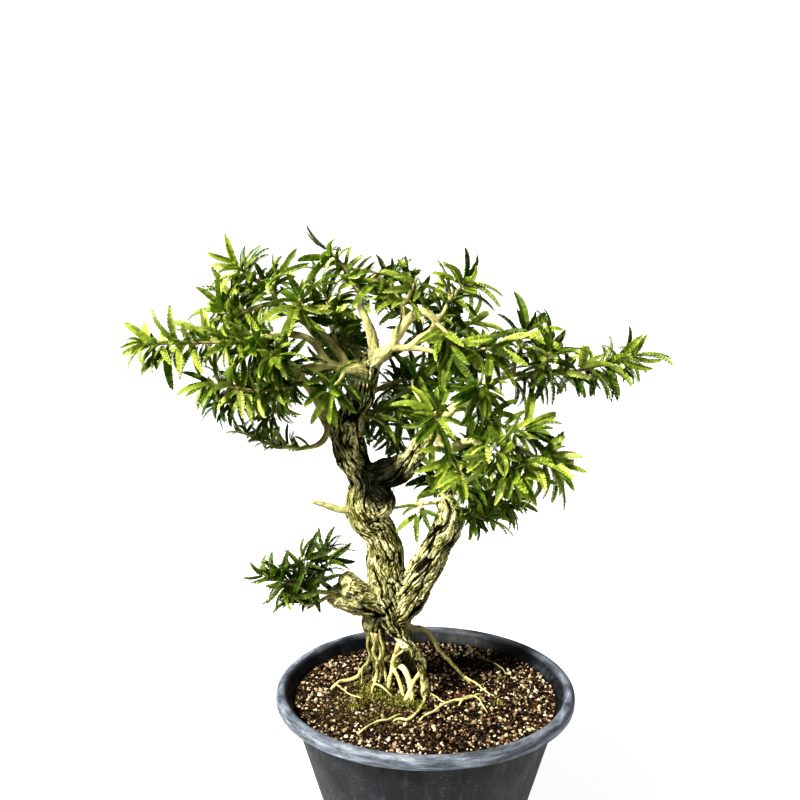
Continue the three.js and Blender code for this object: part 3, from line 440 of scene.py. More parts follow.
class Growth(Nodes):
    """A geometry node tree being made, with named inputs for its sizes."""

    def __init__(self, name):
        self.tree = bpy.data.node_groups.new(name, "GeometryNodeTree")
        self.values = {}
        start = self.tree.nodes.new("NodeGroupInput")
        self.inputs = start.outputs
        self.end = self.tree.nodes.new("NodeGroupOutput")
        for way in "INPUT", "OUTPUT":
            self.socket("Geometry", "Geometry", way)
        self.mesh = Socket(self, self.inputs[0])

    def socket(self, name, kind, way="INPUT"):
        self.tree.interface.new_socket(name, in_out=way, socket_type="NodeSocket" + kind)

    def input(self, name, value):
        self.socket(name, "Int" if isinstance(value, int) else "Float")
        self.values[name] = value
        return Socket(self, self.inputs[name])

    def random(self, seed, low, high):
        """Random values between two numbers or, when they are written in full, two vectors."""
        kind, sockets, output = "FLOAT", {2: low, 3: high}, 1
        if isinstance(low, tuple):
            kind, sockets, output = "FLOAT_VECTOR", {"Min": low, "Max": high}, 0
        sockets["Seed"] = seed
        return self.node("FunctionNodeRandomValue", sockets, output, data_type=kind)

    def scattered(self, method, sockets):
        sockets["Mesh"] = self.mesh
        return self.node("GeometryNodeDistributePointsOnFaces", sockets, distribute_method=method)

    def shape(self, made):
        return self.node("GeometryNodeObjectInfo", {"Object": made}, "Geometry")

    def instances(self, points, shape, turn, size, pick=False):
        sockets = {"Points": points, "Instance": shape, "Rotation": turn, "Scale": size}
        sockets["Pick Instance"] = pick
        return self.node("GeometryNodeInstanceOnPoints", sockets)

    def dyed(self, instances):
        """Gives each instance a tint of its own."""
        return self.node(
            "GeometryNodeStoreNamedAttribute",
            {"Geometry": instances, "Name": "tint", "Value": self.random(11, 0.0, 1.0)},
            data_type="FLOAT", domain="INSTANCE",
        )

    def close(self, geometry, material):
        """Ends the tree in plain geometry with its material."""
        real = self.node("GeometryNodeRealizeInstances", {"Geometry": geometry})
        sockets = {"Geometry": real, "Material": material}
        self.feed(self.end.inputs[0], self.node("GeometryNodeSetMaterial", sockets))

    def work(self, made):
        """Works the tree into the object's mesh."""
        modifier = made.modifiers.new("growth", "NODES")
        modifier.node_group = self.tree
        for item in self.tree.interface.items_tree:
            if item.in_out == "INPUT" and item.name in self.values:
                modifier[item.identifier] = self.values[item.name]
        return settled(made)


def grit_finish():
    """Every grain has its own colour: dark lava, tan clay, cream pumice, some rusty ones."""
    finish = Finish("grit", 0.9, 0.15)
    where = finish.place()
    patches = finish.noise(where, 26, 3)
    colour = finish.ramp(
        finish.attribute("tint") * 0.88 + (patches - 0.5) * 0.55 + 0.03,
        (0.0, (0.002, 0.0015, 0.001)), (0.36, (0.01, 0.006, 0.003)), (0.48, (0.07, 0.042, 0.02)),
        (0.58, (0.22, 0.16, 0.09)), (0.72, (0.4, 0.32, 0.2)), (0.86, (0.6, 0.52, 0.36)),
        (1.0, (0.86, 0.82, 0.7)),
    )
    rusty = finish.step(finish.noise(where, 230, 1), 0.6, 0.63)
    colour = finish.blend(rusty * 0.5, colour, (0.16, 0.05, 0.025))
    away = finish.vector("DISTANCE", where, (-0.045, -0.025, 0.143), "Value")
    mossy = finish.step(away + (patches - 0.5) * 0.06, 0.05, 0.025) * 0.6
    colour = finish.blend(mossy, colour, (0.13, 0.11, 0.03))
    dust = finish.noise(where, 800, 3, 0.7)
    dusty = finish.step(dust, 0.5, 0.72) * 0.5
    finish.set("Base Color", finish.blend(dusty, colour, (0.02, 0.013, 0.008)))
    finish.bump(dust, 0.5, 0.3)
    return finish.material


def scatter_grit():
    """Stones of six shapes scattered over the ground and turned every way."""
    shapes = bpy.data.collections.new("grain_shapes")
    for i in range(GRAIN_SHAPES):
        shapes.objects.link(grain(f"grain_{i}", 40 + i))
    growth = Growth("grit_scatter")
    where = growth.scattered("POISSON", {
        "Distance Min": growth.input("Spacing", GRAIN_SPACING * MM),
        "Density Max": growth.input("Density", GRAINS_PER_METRE), "Seed": growth.input("Seed", 7),
    })
    sunk = growth.random(17, (0, 0, -1.2 * MM), (0, 0, 0.9 * MM))
    where = growth.node("GeometryNodeSetPosition", {"Geometry": where, "Offset": sunk})
    smallest = growth.input("Smallest", GRAIN_SIZES[0])
    largest = growth.input("Largest", GRAIN_SIZES[1])
    uneven = growth.random(19, (0.65,) * 3, (1.25,) * 3)
    sockets = {0: uneven, "Scale": growth.random(5, smallest, largest)}
    size = growth.node("ShaderNodeVectorMath", sockets, operation="SCALE")
    sockets = {"Collection": shapes, "Separate Children": True, "Reset Children": True}
    pieces = growth.node("GeometryNodeCollectionInfo", sockets)
    turn = growth.random(3, (0, 0, 0), (6.28,) * 3)
    placed = growth.instances(where, pieces, turn, size, pick=True)
    growth.close(growth.dyed(placed), grit_finish())
    grit = growth.work(ground("grit", GRIT_REACH, 48, 120))
    grit.data.shade_flat()
    return grit


finished(scatter_grit(), "soil")


def moss_ground(patches, steps=14, sides=28):
    """Ragged pieces of the ground for moss to grow on, with more room for it in the middle."""
    rings = np.repeat(np.linspace(0.05, 1, steps), sides)
    angles = np.tile(2 * math.pi * np.arange(sides) / sides, steps)
    points, faces = [], []
    for *middle, wide, deep in patches:
        edge = np.column_stack([np.cos(angles), np.sin(angles), angles * 0 + middle[0]])
        ragged = 0.75 + 0.5 * value_noise(edge * 1.7, 5)
        x = middle[0] + wide * rings * ragged * np.cos(angles)
        y = middle[1] + deep * rings * ragged * np.sin(angles)
        start = len(points)
        points += np.column_stack([x, y, soil_height(x, y) + 1.0]).tolist()
        for ring in range(start, start + (steps - 1) * sides, sides):
            for k in range(sides):
                a, b = ring + k, ring + (k + 1) % sides
                faces.append((a, a + sides, b + sides, b))
    return mesh_object("moss", points, faces)


def shape_object(name, points, faces):
    """A small flat-faced shape that is only used in copies."""
    made = mesh_object(name, points, faces, smooth=False)
    bpy.context.scene.collection.objects.unlink(made)
    return made


def moss_sprig():
    """One moss plant 1 mm high: three crossed pointed leaves."""
    points, faces = [], []
    up = np.array([0, 0, 1])
    for k in range(3):
        a = 2.1 * k
        out = np.array([math.cos(a), math.sin(a), 0])
        wide = np.array([-math.sin(a), math.cos(a), 0])
        start = len(points)
        points += [
            out * 0.05, out * 0.3 + wide * 0.16 + up * 0.5, out * 0.55 + up,
            out * 0.3 - wide * 0.16 + up * 0.5, out * 0.36 + up * 0.45, out * 0.2 + up * 0.55,
        ]
        for i in range(4):
            here, ahead = start + i, start + (i + 1) % 4
            faces += [(start + 4, ahead, here), (start + 5, here, ahead)]
    return shape_object("sprig_shape", points, faces)


def moss_finish():
    """Moss from nearly black green to the straw of its dry tips, one tint for each sprig."""
    finish = Finish("moss", 0.85)
    finish.set("Base Color", finish.ramp(
        finish.attribute("tint"),
        (0.0, (0.02, 0.025, 0.003)), (0.4, (0.11, 0.12, 0.012)),
        (0.75, (0.27, 0.27, 0.05)), (1.0, (0.5, 0.45, 0.17)),
    ))
    return finish.material


def grow_moss(patches):
    """Sprigs of many heights set close together on each patch."""
    growth = Growth("moss_growth")
    density, seed = growth.input("Density", SPRIGS_PER_METRE), growth.input("Seed", 4)
    where = growth.scattered("RANDOM", {"Density": density, "Seed": seed})
    turn = growth.random(3, (-0.6, -0.6, 0), (0.6, 0.6, 6.28))
    size = growth.random(5, SPRIG_SIZES[0], growth.input("Tallest", SPRIG_SIZES[1]))
    placed = growth.instances(where, growth.shape(moss_sprig()), turn, size)
    growth.close(growth.dyed(placed), moss_finish())
    return growth.work(moss_ground(patches))


# where moss grows round the foot of the tree: the middle, and the reach along x and y
MOSS = rows_of(
    "-42 -8 17 13, -22 -24 13 9, -52 12 10 12, -8 -30 9 6, -60 -30 8 6, 62 -22 5 4, 70 30 4 4"
)
finished(grow_moss(MOSS), "soil")

# The trunks and roots
# Living wood, grown in one piece with the branches: two old trunks that lean apart, a sawn stump,
# a heavy crossing limb and thick bared roots. The bark is pale, twisted like rope and cracked.
TRUNK_VOXEL = 0.82
ROOT_VOXEL = 0.88
# painted shade on the bark, each spot a middle and a reach in metres: where the crossing limb
# leaves the trunk, and in the fork between the trunks
PAINTED_SHADE_SPOTS = [((-0.036, -0.008, 0.338), 0.031), ((-0.014, -0.004, 0.234), 0.014)]


def limbs_of(table):
    """The limbs of a table: two numbers, the course and, after >, the shoot at the tip."""
    limbs = []
    for record in table:
        wood, _, leafy = record.partition(">")
        numbers, course = wood.split(":")
        shoot = None
        if leafy:
            words, rows = leafy.split(":")
            name, leaves, size = words.split()
            shoot = ("shoot_" + name, int(leaves), float(size), rows_of(rows))
        limbs.append((*map(float, numbers.split()), rows_of(course), shoot))
    return limbs


# each trunk: how deep its ribs are and how far they turn in a millimetre, then x, y, z and radius
# along it; an entry after > is the leafy shoot at its tip
TRUNKS = limbs_of([
    "0.07 0.01: -30 2 205 10, -31 0 221 16, -32 0 237 16.5, -34 -1 257 15.5, -36 -2 275 14,"
    "-42 -4 291 14, -52 -6 305 13.5, -55 -5 318 12, -51 -3 330 11.5, -56 0 342 12,"
    "-61 2 353 13.5, -65 3 367 13.5, -63 2 383 11.5, -59 1 396 10.5, -54 0 408 11,"
    "-52 -1 420 10.5, -48 -2 431 9, -44 -3 440 6.5",
    "0.06 -0.012: -24 -2 210 10, -15 -4 228 14, -6 -7 247 13, 3 -9 265 12, 10 -11 281 11.5,"
    "17 -12 296 11.5, 18 -11 309 9.5, 14 -9 319 6.5",
    "0.03 0.01: -34 -6 218 9, -46 -8 224 12, -58 -11 232 14, -73 -15 243 15.5",
    "0.05 0.015: -51 -2 336 9, -37 -5 340 11.5, -25 -8 343 11.5, -15 -12 352 9.5, -8 -16 363 7.5,"
    "-1 -20 373 6.5, 6 -24 382 5.5",
    "0.04 0.02: -48 -6 332 6, -38 -9 324 8, -33 -8 314 6.5, -42 -6 305 7",
    "0.04 0.02: -63 2 357 8, -72 6 369 8, -79 9 383 7, -85 11 393 6, -92 14 402 5, -100 24 409 4,"
    "-111 36 417 3.5, -125 48 424 3, -142 60 433 2.2"
    "> back_left 4 1: -157 68 440, -172 76 444, -186 82 446",
])
ROOTS = [rows_of(course) for course in [
    "-34 -4 219 8, -29 -8 207 6.5, -19 -12 196 5.6, -10 -13 186 5, -4 -12 172 4.6,"
    "-2 -12 157 4.3, -1 -11 142 4, 0 -10 124 3",
    "-37 -2 222 10, -44 0 208 9.5, -45 3 196 7.5, -40 8 181 6, -39 12 169 5.5, -41 14 154 6,"
    "-42 15 141 5.5, -43 16 122 3.5",
    "-36 6 213 8, -40 16 195 6, -43 26 176 5, -47 37 157 4.6, -49 46 141 4, -50 53 126 3",
    "-40 12 171 3.4, -29 4 169 3, -19 -6 165 2.8, -13 -16 156 2.6, -12 -22 143 2.4,"
    "-11 -25 128 1.8",
    "-20 -11 196 2.6, -26 -8 181 2.4, -28 -5 168 2.3, -30 -2 155 2.2, -32 0 141 2, -33 1 128 1.6",
    "-28 -5 166 2, -22 -12 155 1.9, -19 -17 142 1.8, -17 -21 128 1.5",
    "-4 -12 168 2.2, -12 -19 155 2, -19 -25 141 1.9, -23 -29 129 1.5",
    "-22 0 212 4.4, -13 2 201 2.9, -1 6 197 2.3, 7 8 189 2, 13 12 174 1.8, 26 18 157 1.7,"
    "39 22 141 1.5, 48 26 130 1.3",
    "-42 14 172 2.6, -54 21 155 2.2, -62 24 143 2, -74 20 142 1.8, -83 9 139 1.6, -90 2 131 1.3",
    "-26 8 210 7, -18 20 190 5.2, -14 32 168 4.4, -10 44 141 3.8, -8 52 126 3",
]]


def smooth_course(rows, spacing=1.5):
    """A smooth line through the rows: x, y, z and radius about every spacing millimetres."""
    rows = np.array(rows, float)
    ends = np.vstack([2 * rows[0] - rows[1], rows, 2 * rows[-1] - rows[-2]])
    line = []
    for a, b, c, d in zip(ends, ends[1:], ends[2:], ends[3:]):
        steps = max(int(np.linalg.norm((c - b)[:3]) / spacing), 1)
        for t in np.arange(steps)[:, None] / steps:
            curve = 2 * b + (c - a) * t + (2 * a - 5 * b + 4 * c - d) * t ** 2
            line.append((curve + (3 * b - a - 3 * c + d) * t ** 3) / 2)
    return np.vstack(line + [rows[-1]])


def unit(vectors):
    return vectors / np.linalg.norm(vectors, axis=-1, keepdims=True)


def frames_of(line):
    """Directions at each point of a line: along it, and two square to it that don't spin."""
    along = unit(np.gradient(line[:, :3], axis=0))
    level = (0, 0, 1) if abs(along[0][2]) < 0.9 else (1, 0, 0)
    first = unit(np.cross(level, along[0]))
    across = []
    for direction in along:
        first = unit(first - direction * (first @ direction))
        across.append(first)
    across = np.array(across)
    return along, across, np.cross(along, across)


def steps_along(line):
    return np.linalg.norm(np.diff(line[:, :3], axis=0), axis=1)


def lengths_along(line):
    return np.concatenate([[0], np.cumsum(steps_along(line))])


def roughened(line, shift, scale, swell, lump, seed):
    """The line made less even: small wiggles of its course, and a radius that varies."""
    wander = [value_noise(line[:, :3] / scale, seed + k) - 0.5 for k in range(3)]
    line[:, :3] += shift * np.column_stack(wander)
    line[:, 3] *= 1 - swell / 2 + swell * value_noise(line[:, :3] / lump, seed + 3)
    return line


def set_attribute(made, name, values):
    """Stores a number or a vector for each point of the mesh."""
    kind, field = ("FLOAT", "value") if values.ndim == 1 else ("FLOAT_VECTOR", "vector")
    layer = made.data.attributes.get(name) or made.data.attributes.new(name, kind, "POINT")
    layer.data.foreach_set(field, values.astype(np.float32).ravel())


class Wood:
    """Closed round lengths of wood gathered into one mesh."""

    def __init__(self):
        self.points, self.faces, self.lines = [], [], []

    def add(self, line, sides, lobes=0.0, twist=0.0, domed=True):
        """A tube along a line. Lobes make it ribbed, and the ribs turn round it with the twist."""
        along, across, third = frames_of(line)
        self.lines.append((line, along, across, third, twist))
        start = sum(len(p) for p in self.points)
        length = lengths_along(line)
        angles = 2 * math.pi * np.arange(sides) / sides
        rings = [(line[i], i, line[i, 3]) for i in range(len(line))]
        if domed:
            for ahead, share in ((0.45, 0.86), (0.8, 0.5)):
                tip = line[-1].copy()
                tip[:3] += along[-1] * ahead * tip[3]
                rings.append((tip, len(line) - 1, tip[3] * share))
        for centre, i, radius in rings:
            reach = radius * (1 + lobes * np.cos(5 * (angles + twist * length[i])))
            offset = np.outer(np.cos(angles) * reach, across[i])
            self.points.append(centre[:3] + (offset + np.outer(np.sin(angles) * reach, third[i])))
        count = len(rings)
        for i in range(count - 1):
            for k in range(sides):
                a, b = start + i * sides + k, start + i * sides + (k + 1) % sides
                self.faces.append((a, b, b + sides, a + sides))
        self.faces.append(tuple(start + k for k in reversed(range(sides))))
        self.faces.append(tuple(start + (count - 1) * sides + k for k in range(sides)))

    def mesh(self, name):
        points = np.vstack(self.points)
        made = mesh_object(name, points, self.faces)
        set_attribute(made, "grain", points)
        return made

    def grown_together(self, name, voxel):
        """The overlapping lengths as one skin, with softened forks."""
        made = self.mesh(name)
        skin = made.modifiers.new("skin", "REMESH")
        skin.mode = "VOXEL"
        skin.voxel_size = voxel * MM
        soft = made.modifiers.new("soft", "SMOOTH")
        soft.factor, soft.iterations = 0.5, 3
        settled(made)
        made.data.shade_smooth()
        return made


def skin_points(made):
    count = len(made.data.vertices)
    points, normals = np.zeros(count * 3), np.zeros(count * 3)
    made.data.vertices.foreach_get("co", points)
    made.data.vertices.foreach_get("normal", normals)
    return points.reshape(-1, 3) / MM, normals.reshape(-1, 3)


def on_limbs(points, lines):
    """For each point of the skin: angle round its limb, length along it, radius, twist, limb."""
    centre, length, frame = [], [], []
    for line, along, across, third, twist in lines:
        centre.append(line)
        length.append(lengths_along(line))
        frame.append(np.stack([along, across, third], axis=1))
    counts = [len(line) for line in centre]
    centre, length, frame = np.vstack(centre), np.concatenate(length), np.vstack(frame)
    limb = np.repeat(np.arange(len(lines)), counts)
    twist = np.repeat([float(row[4]) for row in lines], counts)
    found = np.zeros(len(points), int)
    for start in range(0, len(points), 4000):
        part = points[start:start + 4000]
        away = np.sqrt(((part[:, None, :] - centre[None, :, :3]) ** 2).sum(2)) - centre[:, 3]
        found[start:start + 4000] = away.argmin(1)
    offset = np.einsum("nij,nj->ni", frame[found], points - centre[found, :3])
    angle = np.arctan2(offset[:, 2], offset[:, 1])
    return angle, length[found] + offset[:, 0], centre[found, 3], twist[found], limb[found]


def smooth_step(value, low, high):
    t = np.clip((value - low) / (high - low), 0, 1)
    return t * t * (3 - 2 * t)


def carve_bark(made, lines, depth, seed, old=(3.5, 8), knobs=2.0, sawn=None):
    """Folds and ropes of bark along each limb, with narrow cracks. A sawn end is rough."""
    points, normals = skin_points(made)
    angle, length, radius, twist, limb = on_limbs(points, lines)
    age = smooth_step(radius, *old)
    warp = np.column_stack([value_noise(points / 9, seed + k) - 0.5 for k in (11, 12, 13)])
    turn = angle + twist * length
    ring = np.column_stack([np.cos(turn), np.sin(turn)]) * radius[:, None] + warp[:, :2] * 3.2
    shift = (limb * 31.7)[:, None]

    def bands(width, stretch, number):
        lengthwise = length / (width * stretch) + 0.35 * warp[:, 2]
        noise = value_noise(np.column_stack([ring / width, lengthwise]) + shift, seed + number)
        return np.abs(2 * noise - 1)

    folds = np.clip(bands(7, 16, 1) / 0.14, 0, 1) ** 0.7
    ropes = np.clip(bands(3.8, 10, 2) / 0.22, 0, 1) ** 0.7
    strands = np.clip(bands(2.1, 6, 3) / 0.3, 0, 1)
    scales = value_noise(points / 1.5, seed + 4) - 0.5
    lumps = value_noise(points / 11, seed + 5) - 0.5
    height = 1.7 * (folds - 0.8) + 1.0 * (ropes - 0.8) + 0.5 * (strands - 0.8)
    height = depth * height * (0.06 + 0.94 * age)
    height += lumps * (0.5 + knobs * age) + scales * (0.3 + 0.9 * age)
    cut, pale = np.zeros(len(points)), 1
    if sawn is not None:
        past = length - steps_along(lines[sawn][0]).sum()
        cut = smooth_step(past, -3, 0) * (limb == sawn)
        rough = smooth_step(past, -11, -3) * (limb == sawn)
        height += 6 * rough * (value_noise(points / 4.5, seed + 6) - 0.55)
        pale = 1 - 0.5 * (limb == sawn) * smooth_step(length, 12, 30)
    points += normals * height[:, None]
    made.data.vertices.foreach_set("co", (points * MM).ravel())
    made.data.update()
    # crack marks the carved hollows; the bark finish darkens them, partly as painted shade
    crack = np.maximum((1 - folds) ** 1.5, 0.85 * (1 - ropes) ** 1.3)
    crack = np.maximum(crack, 0.45 * (1 - strands))
    set_attribute(made, "cut", cut)
    set_attribute(made, "crack", crack * (0.12 + 0.88 * age) * pale)
    set_attribute(made, "age", age)
    set_attribute(made, "grain", np.column_stack([ring, length / 5]) + shift)


def bark_finish():
    """Weathered bark: silvery cream on the ropes, olive where algae grow, black in the cracks,
    partly the bark's own colour and partly painted shade.
    """
    finish = Finish("bark", 0.9, 0.15)
    where = finish.place()
    crack, age, cut = (finish.attribute(name) for name in ("crack", "age", "cut"))
    grain = finish.attribute("grain", "Vector")
    fibres = finish.noise(grain, 0.75, 5, 0.65)
    split = finish.step(abs(finish.noise(grain, 0.42, 3, 0.6) - 0.5), 0.0, 0.045)
    broad = finish.noise(where, 70, 4, 0.6)
    fine = finish.noise(where, 900, 3, 0.7)
    young = finish.ramp(
        broad * 0.5 + fibres * 0.5,
        (0.36, (0.17, 0.14, 0.05)), (0.45, (0.5, 0.45, 0.2)),
        (0.55, (0.75, 0.72, 0.34)), (0.68, (0.86, 0.84, 0.47)),
    )
    weathered = finish.ramp(
        broad * 0.35 + fibres * 0.65,
        (0.37, (0.02, 0.017, 0.005)), (0.44, (0.15, 0.135, 0.035)),
        (0.5, (0.58, 0.56, 0.24)), (0.57, (0.94, 0.92, 0.58)),
    )
    algae = finish.step(finish.noise(where, 55, 3), 0.5, 0.68) * 0.4 * age
    skin = finish.blend(algae, finish.blend(age, young, weathered), (0.2, 0.22, 0.05))
    skin = finish.blend((1 - split) * (age * 0.85 + 0.1), skin, (0.03, 0.025, 0.008))
    # the carved cracks darkened almost to black: partly dark fissure bark, partly painted shade in
    # the hollows
    dark = finish.step(crack + (fine - 0.5) * 0.4, 0.16, 0.52)
    skin = finish.blend(dark, skin, (0.008, 0.006, 0.002))
    # painted shade: round each spot the bark is darkened almost to black
    for middle, reach in PAINTED_SHADE_SPOTS:
        away = finish.vector("DISTANCE", where, middle, "Value")
        dark_patch = finish.step(away + (broad - 0.5) * 0.02, reach, reach * 0.6)
        skin = finish.blend(dark_patch * 0.96, skin, (0.004, 0.004, 0.0015))
    face = finish.ramp(
        finish.noise(where, 420, 3) * 0.5 + fibres * 0.5,
        (0.4, (0.2, 0.17, 0.06)), (0.48, (0.66, 0.62, 0.3)), (0.6, (0.9, 0.88, 0.52)),
    )
    finish.set("Base Color", finish.blend(cut * 0.85, skin, face))
    finish.bump(fibres * 0.7 + split * 0.3 + fine * 0.3, 0.75, 0.9)
    return finish.material


# fine roots on the knob and over the ground, and one thread in the air: radius at both ends
FINE_ROOTS = limbs_of([
    "1.6 1.2: -47 -8 200, -44 -8 190, -45 -6 181, -42 -4 173, -39 -1 165, -38 4 157",
    "1.5 1.3: -40 -8 203, -38 -7 192, -36 -5 183, -38 -2 172, -36 1 164, -34 3 150",
    "1.7 1.1: -43 -8 199, -41 -6 188, -39 -4 178, -42 -3 169, -42 0 160, -46 -4 146, -47 -6 139",
    "1.3 0.9: -49 -4 196, -50 -4 186, -48 -3 177, -50 2 168, -55 8 158, -56 12 141",
    "1.1 1: -47 8 140, -45 -4 150, -39 -12 153, -31 -19 149, -25 -18 143, -22 -17 138",
    "1.3 1: -13 -15 192, -19 -13 186, -25 -10 179",
    "0.8 0.5: 0 -10 148, 7 -12 144, 13 -20 143, 20 -24 142",
    "1 1.5: -6 -50 140, -2 -47 142, 6 -40 143, 15 -29 144, 26 -20 143, 37 -16 143, 46 -7 142,"
    "50 -2 139",
    "1.5 0.9: -1 -14 143, -2 -26 144, -8 -42 143, -15 -52 142, -24 -51 142, -30 -52 139",
    "1.2 0.8: -20 -42 140, -24 -47 143, -32 -54 143, -42 -58 143, -51 -68 142, -56 -72 139",
    "1 0.7: 28 -24 140, 31 -20 143, 39 -11 143, 45 -16 143, 49 -29 142, 52 -33 139",
    "0.9 0.6: 50 84 139, 51 81 142, 56 65 143, 64 57 143, 72 46 142, 74 42 139",
    "1.1 0.6: 36 20 146, 46 12 143, 52 2 142, 60 -4 139",
    "0.9 0.5: -80 16 141, -72 4 142, -66 -8 143, -56 -14 142, -50 -20 139",
    "0.4 0.3: -26 -16 350, -27 -21 344, -28 -22 330, -29 -19 319, -32 -12 312",
])

bark = bark_finish()
trunk_wood = Wood()
for lobes, twist, rows, shoot in TRUNKS:
    trunk_wood.add(smooth_course(rows), 40, lobes, twist, domed=False)
trunk = trunk_wood.grown_together("trunk", TRUNK_VOXEL)
carve_bark(trunk, trunk_wood.lines, 1.25, 21, sawn=2)
finished(trunk, "wood", bark)
root_wood = Wood()
for rows in ROOTS:
    root_wood.add(roughened(smooth_course(rows), 2, 7, 0.28, 5, 81), 20)
roots = root_wood.grown_together("roots", ROOT_VOXEL)
carve_bark(roots, root_wood.lines, 0.8, 91, old=(2.6, 6), knobs=4.5)
finished(roots, "wood", bark)
fine_wood = Wood()
for start, end, rows, _ in FINE_ROOTS:
    line = smooth_course(np.column_stack([rows, np.linspace(start, end, len(rows))]), 1.6)
    fine_wood.add(roughened(line, 1.3, 5, 0.4, 2.5, 61), 7)
finished(fine_wood.mesh("fine_roots"), "wood", bark)

# The branches and twigs
# Younger wood, smoother and paler, thickened where it leaves the wood that carries it. Most end in
# a leafy shoot: its name, its number of main leaves, their size and its course.
BRANCH_VOXEL = 0.9
THICK_BASE = 2.4
STUMP_TOP = 310
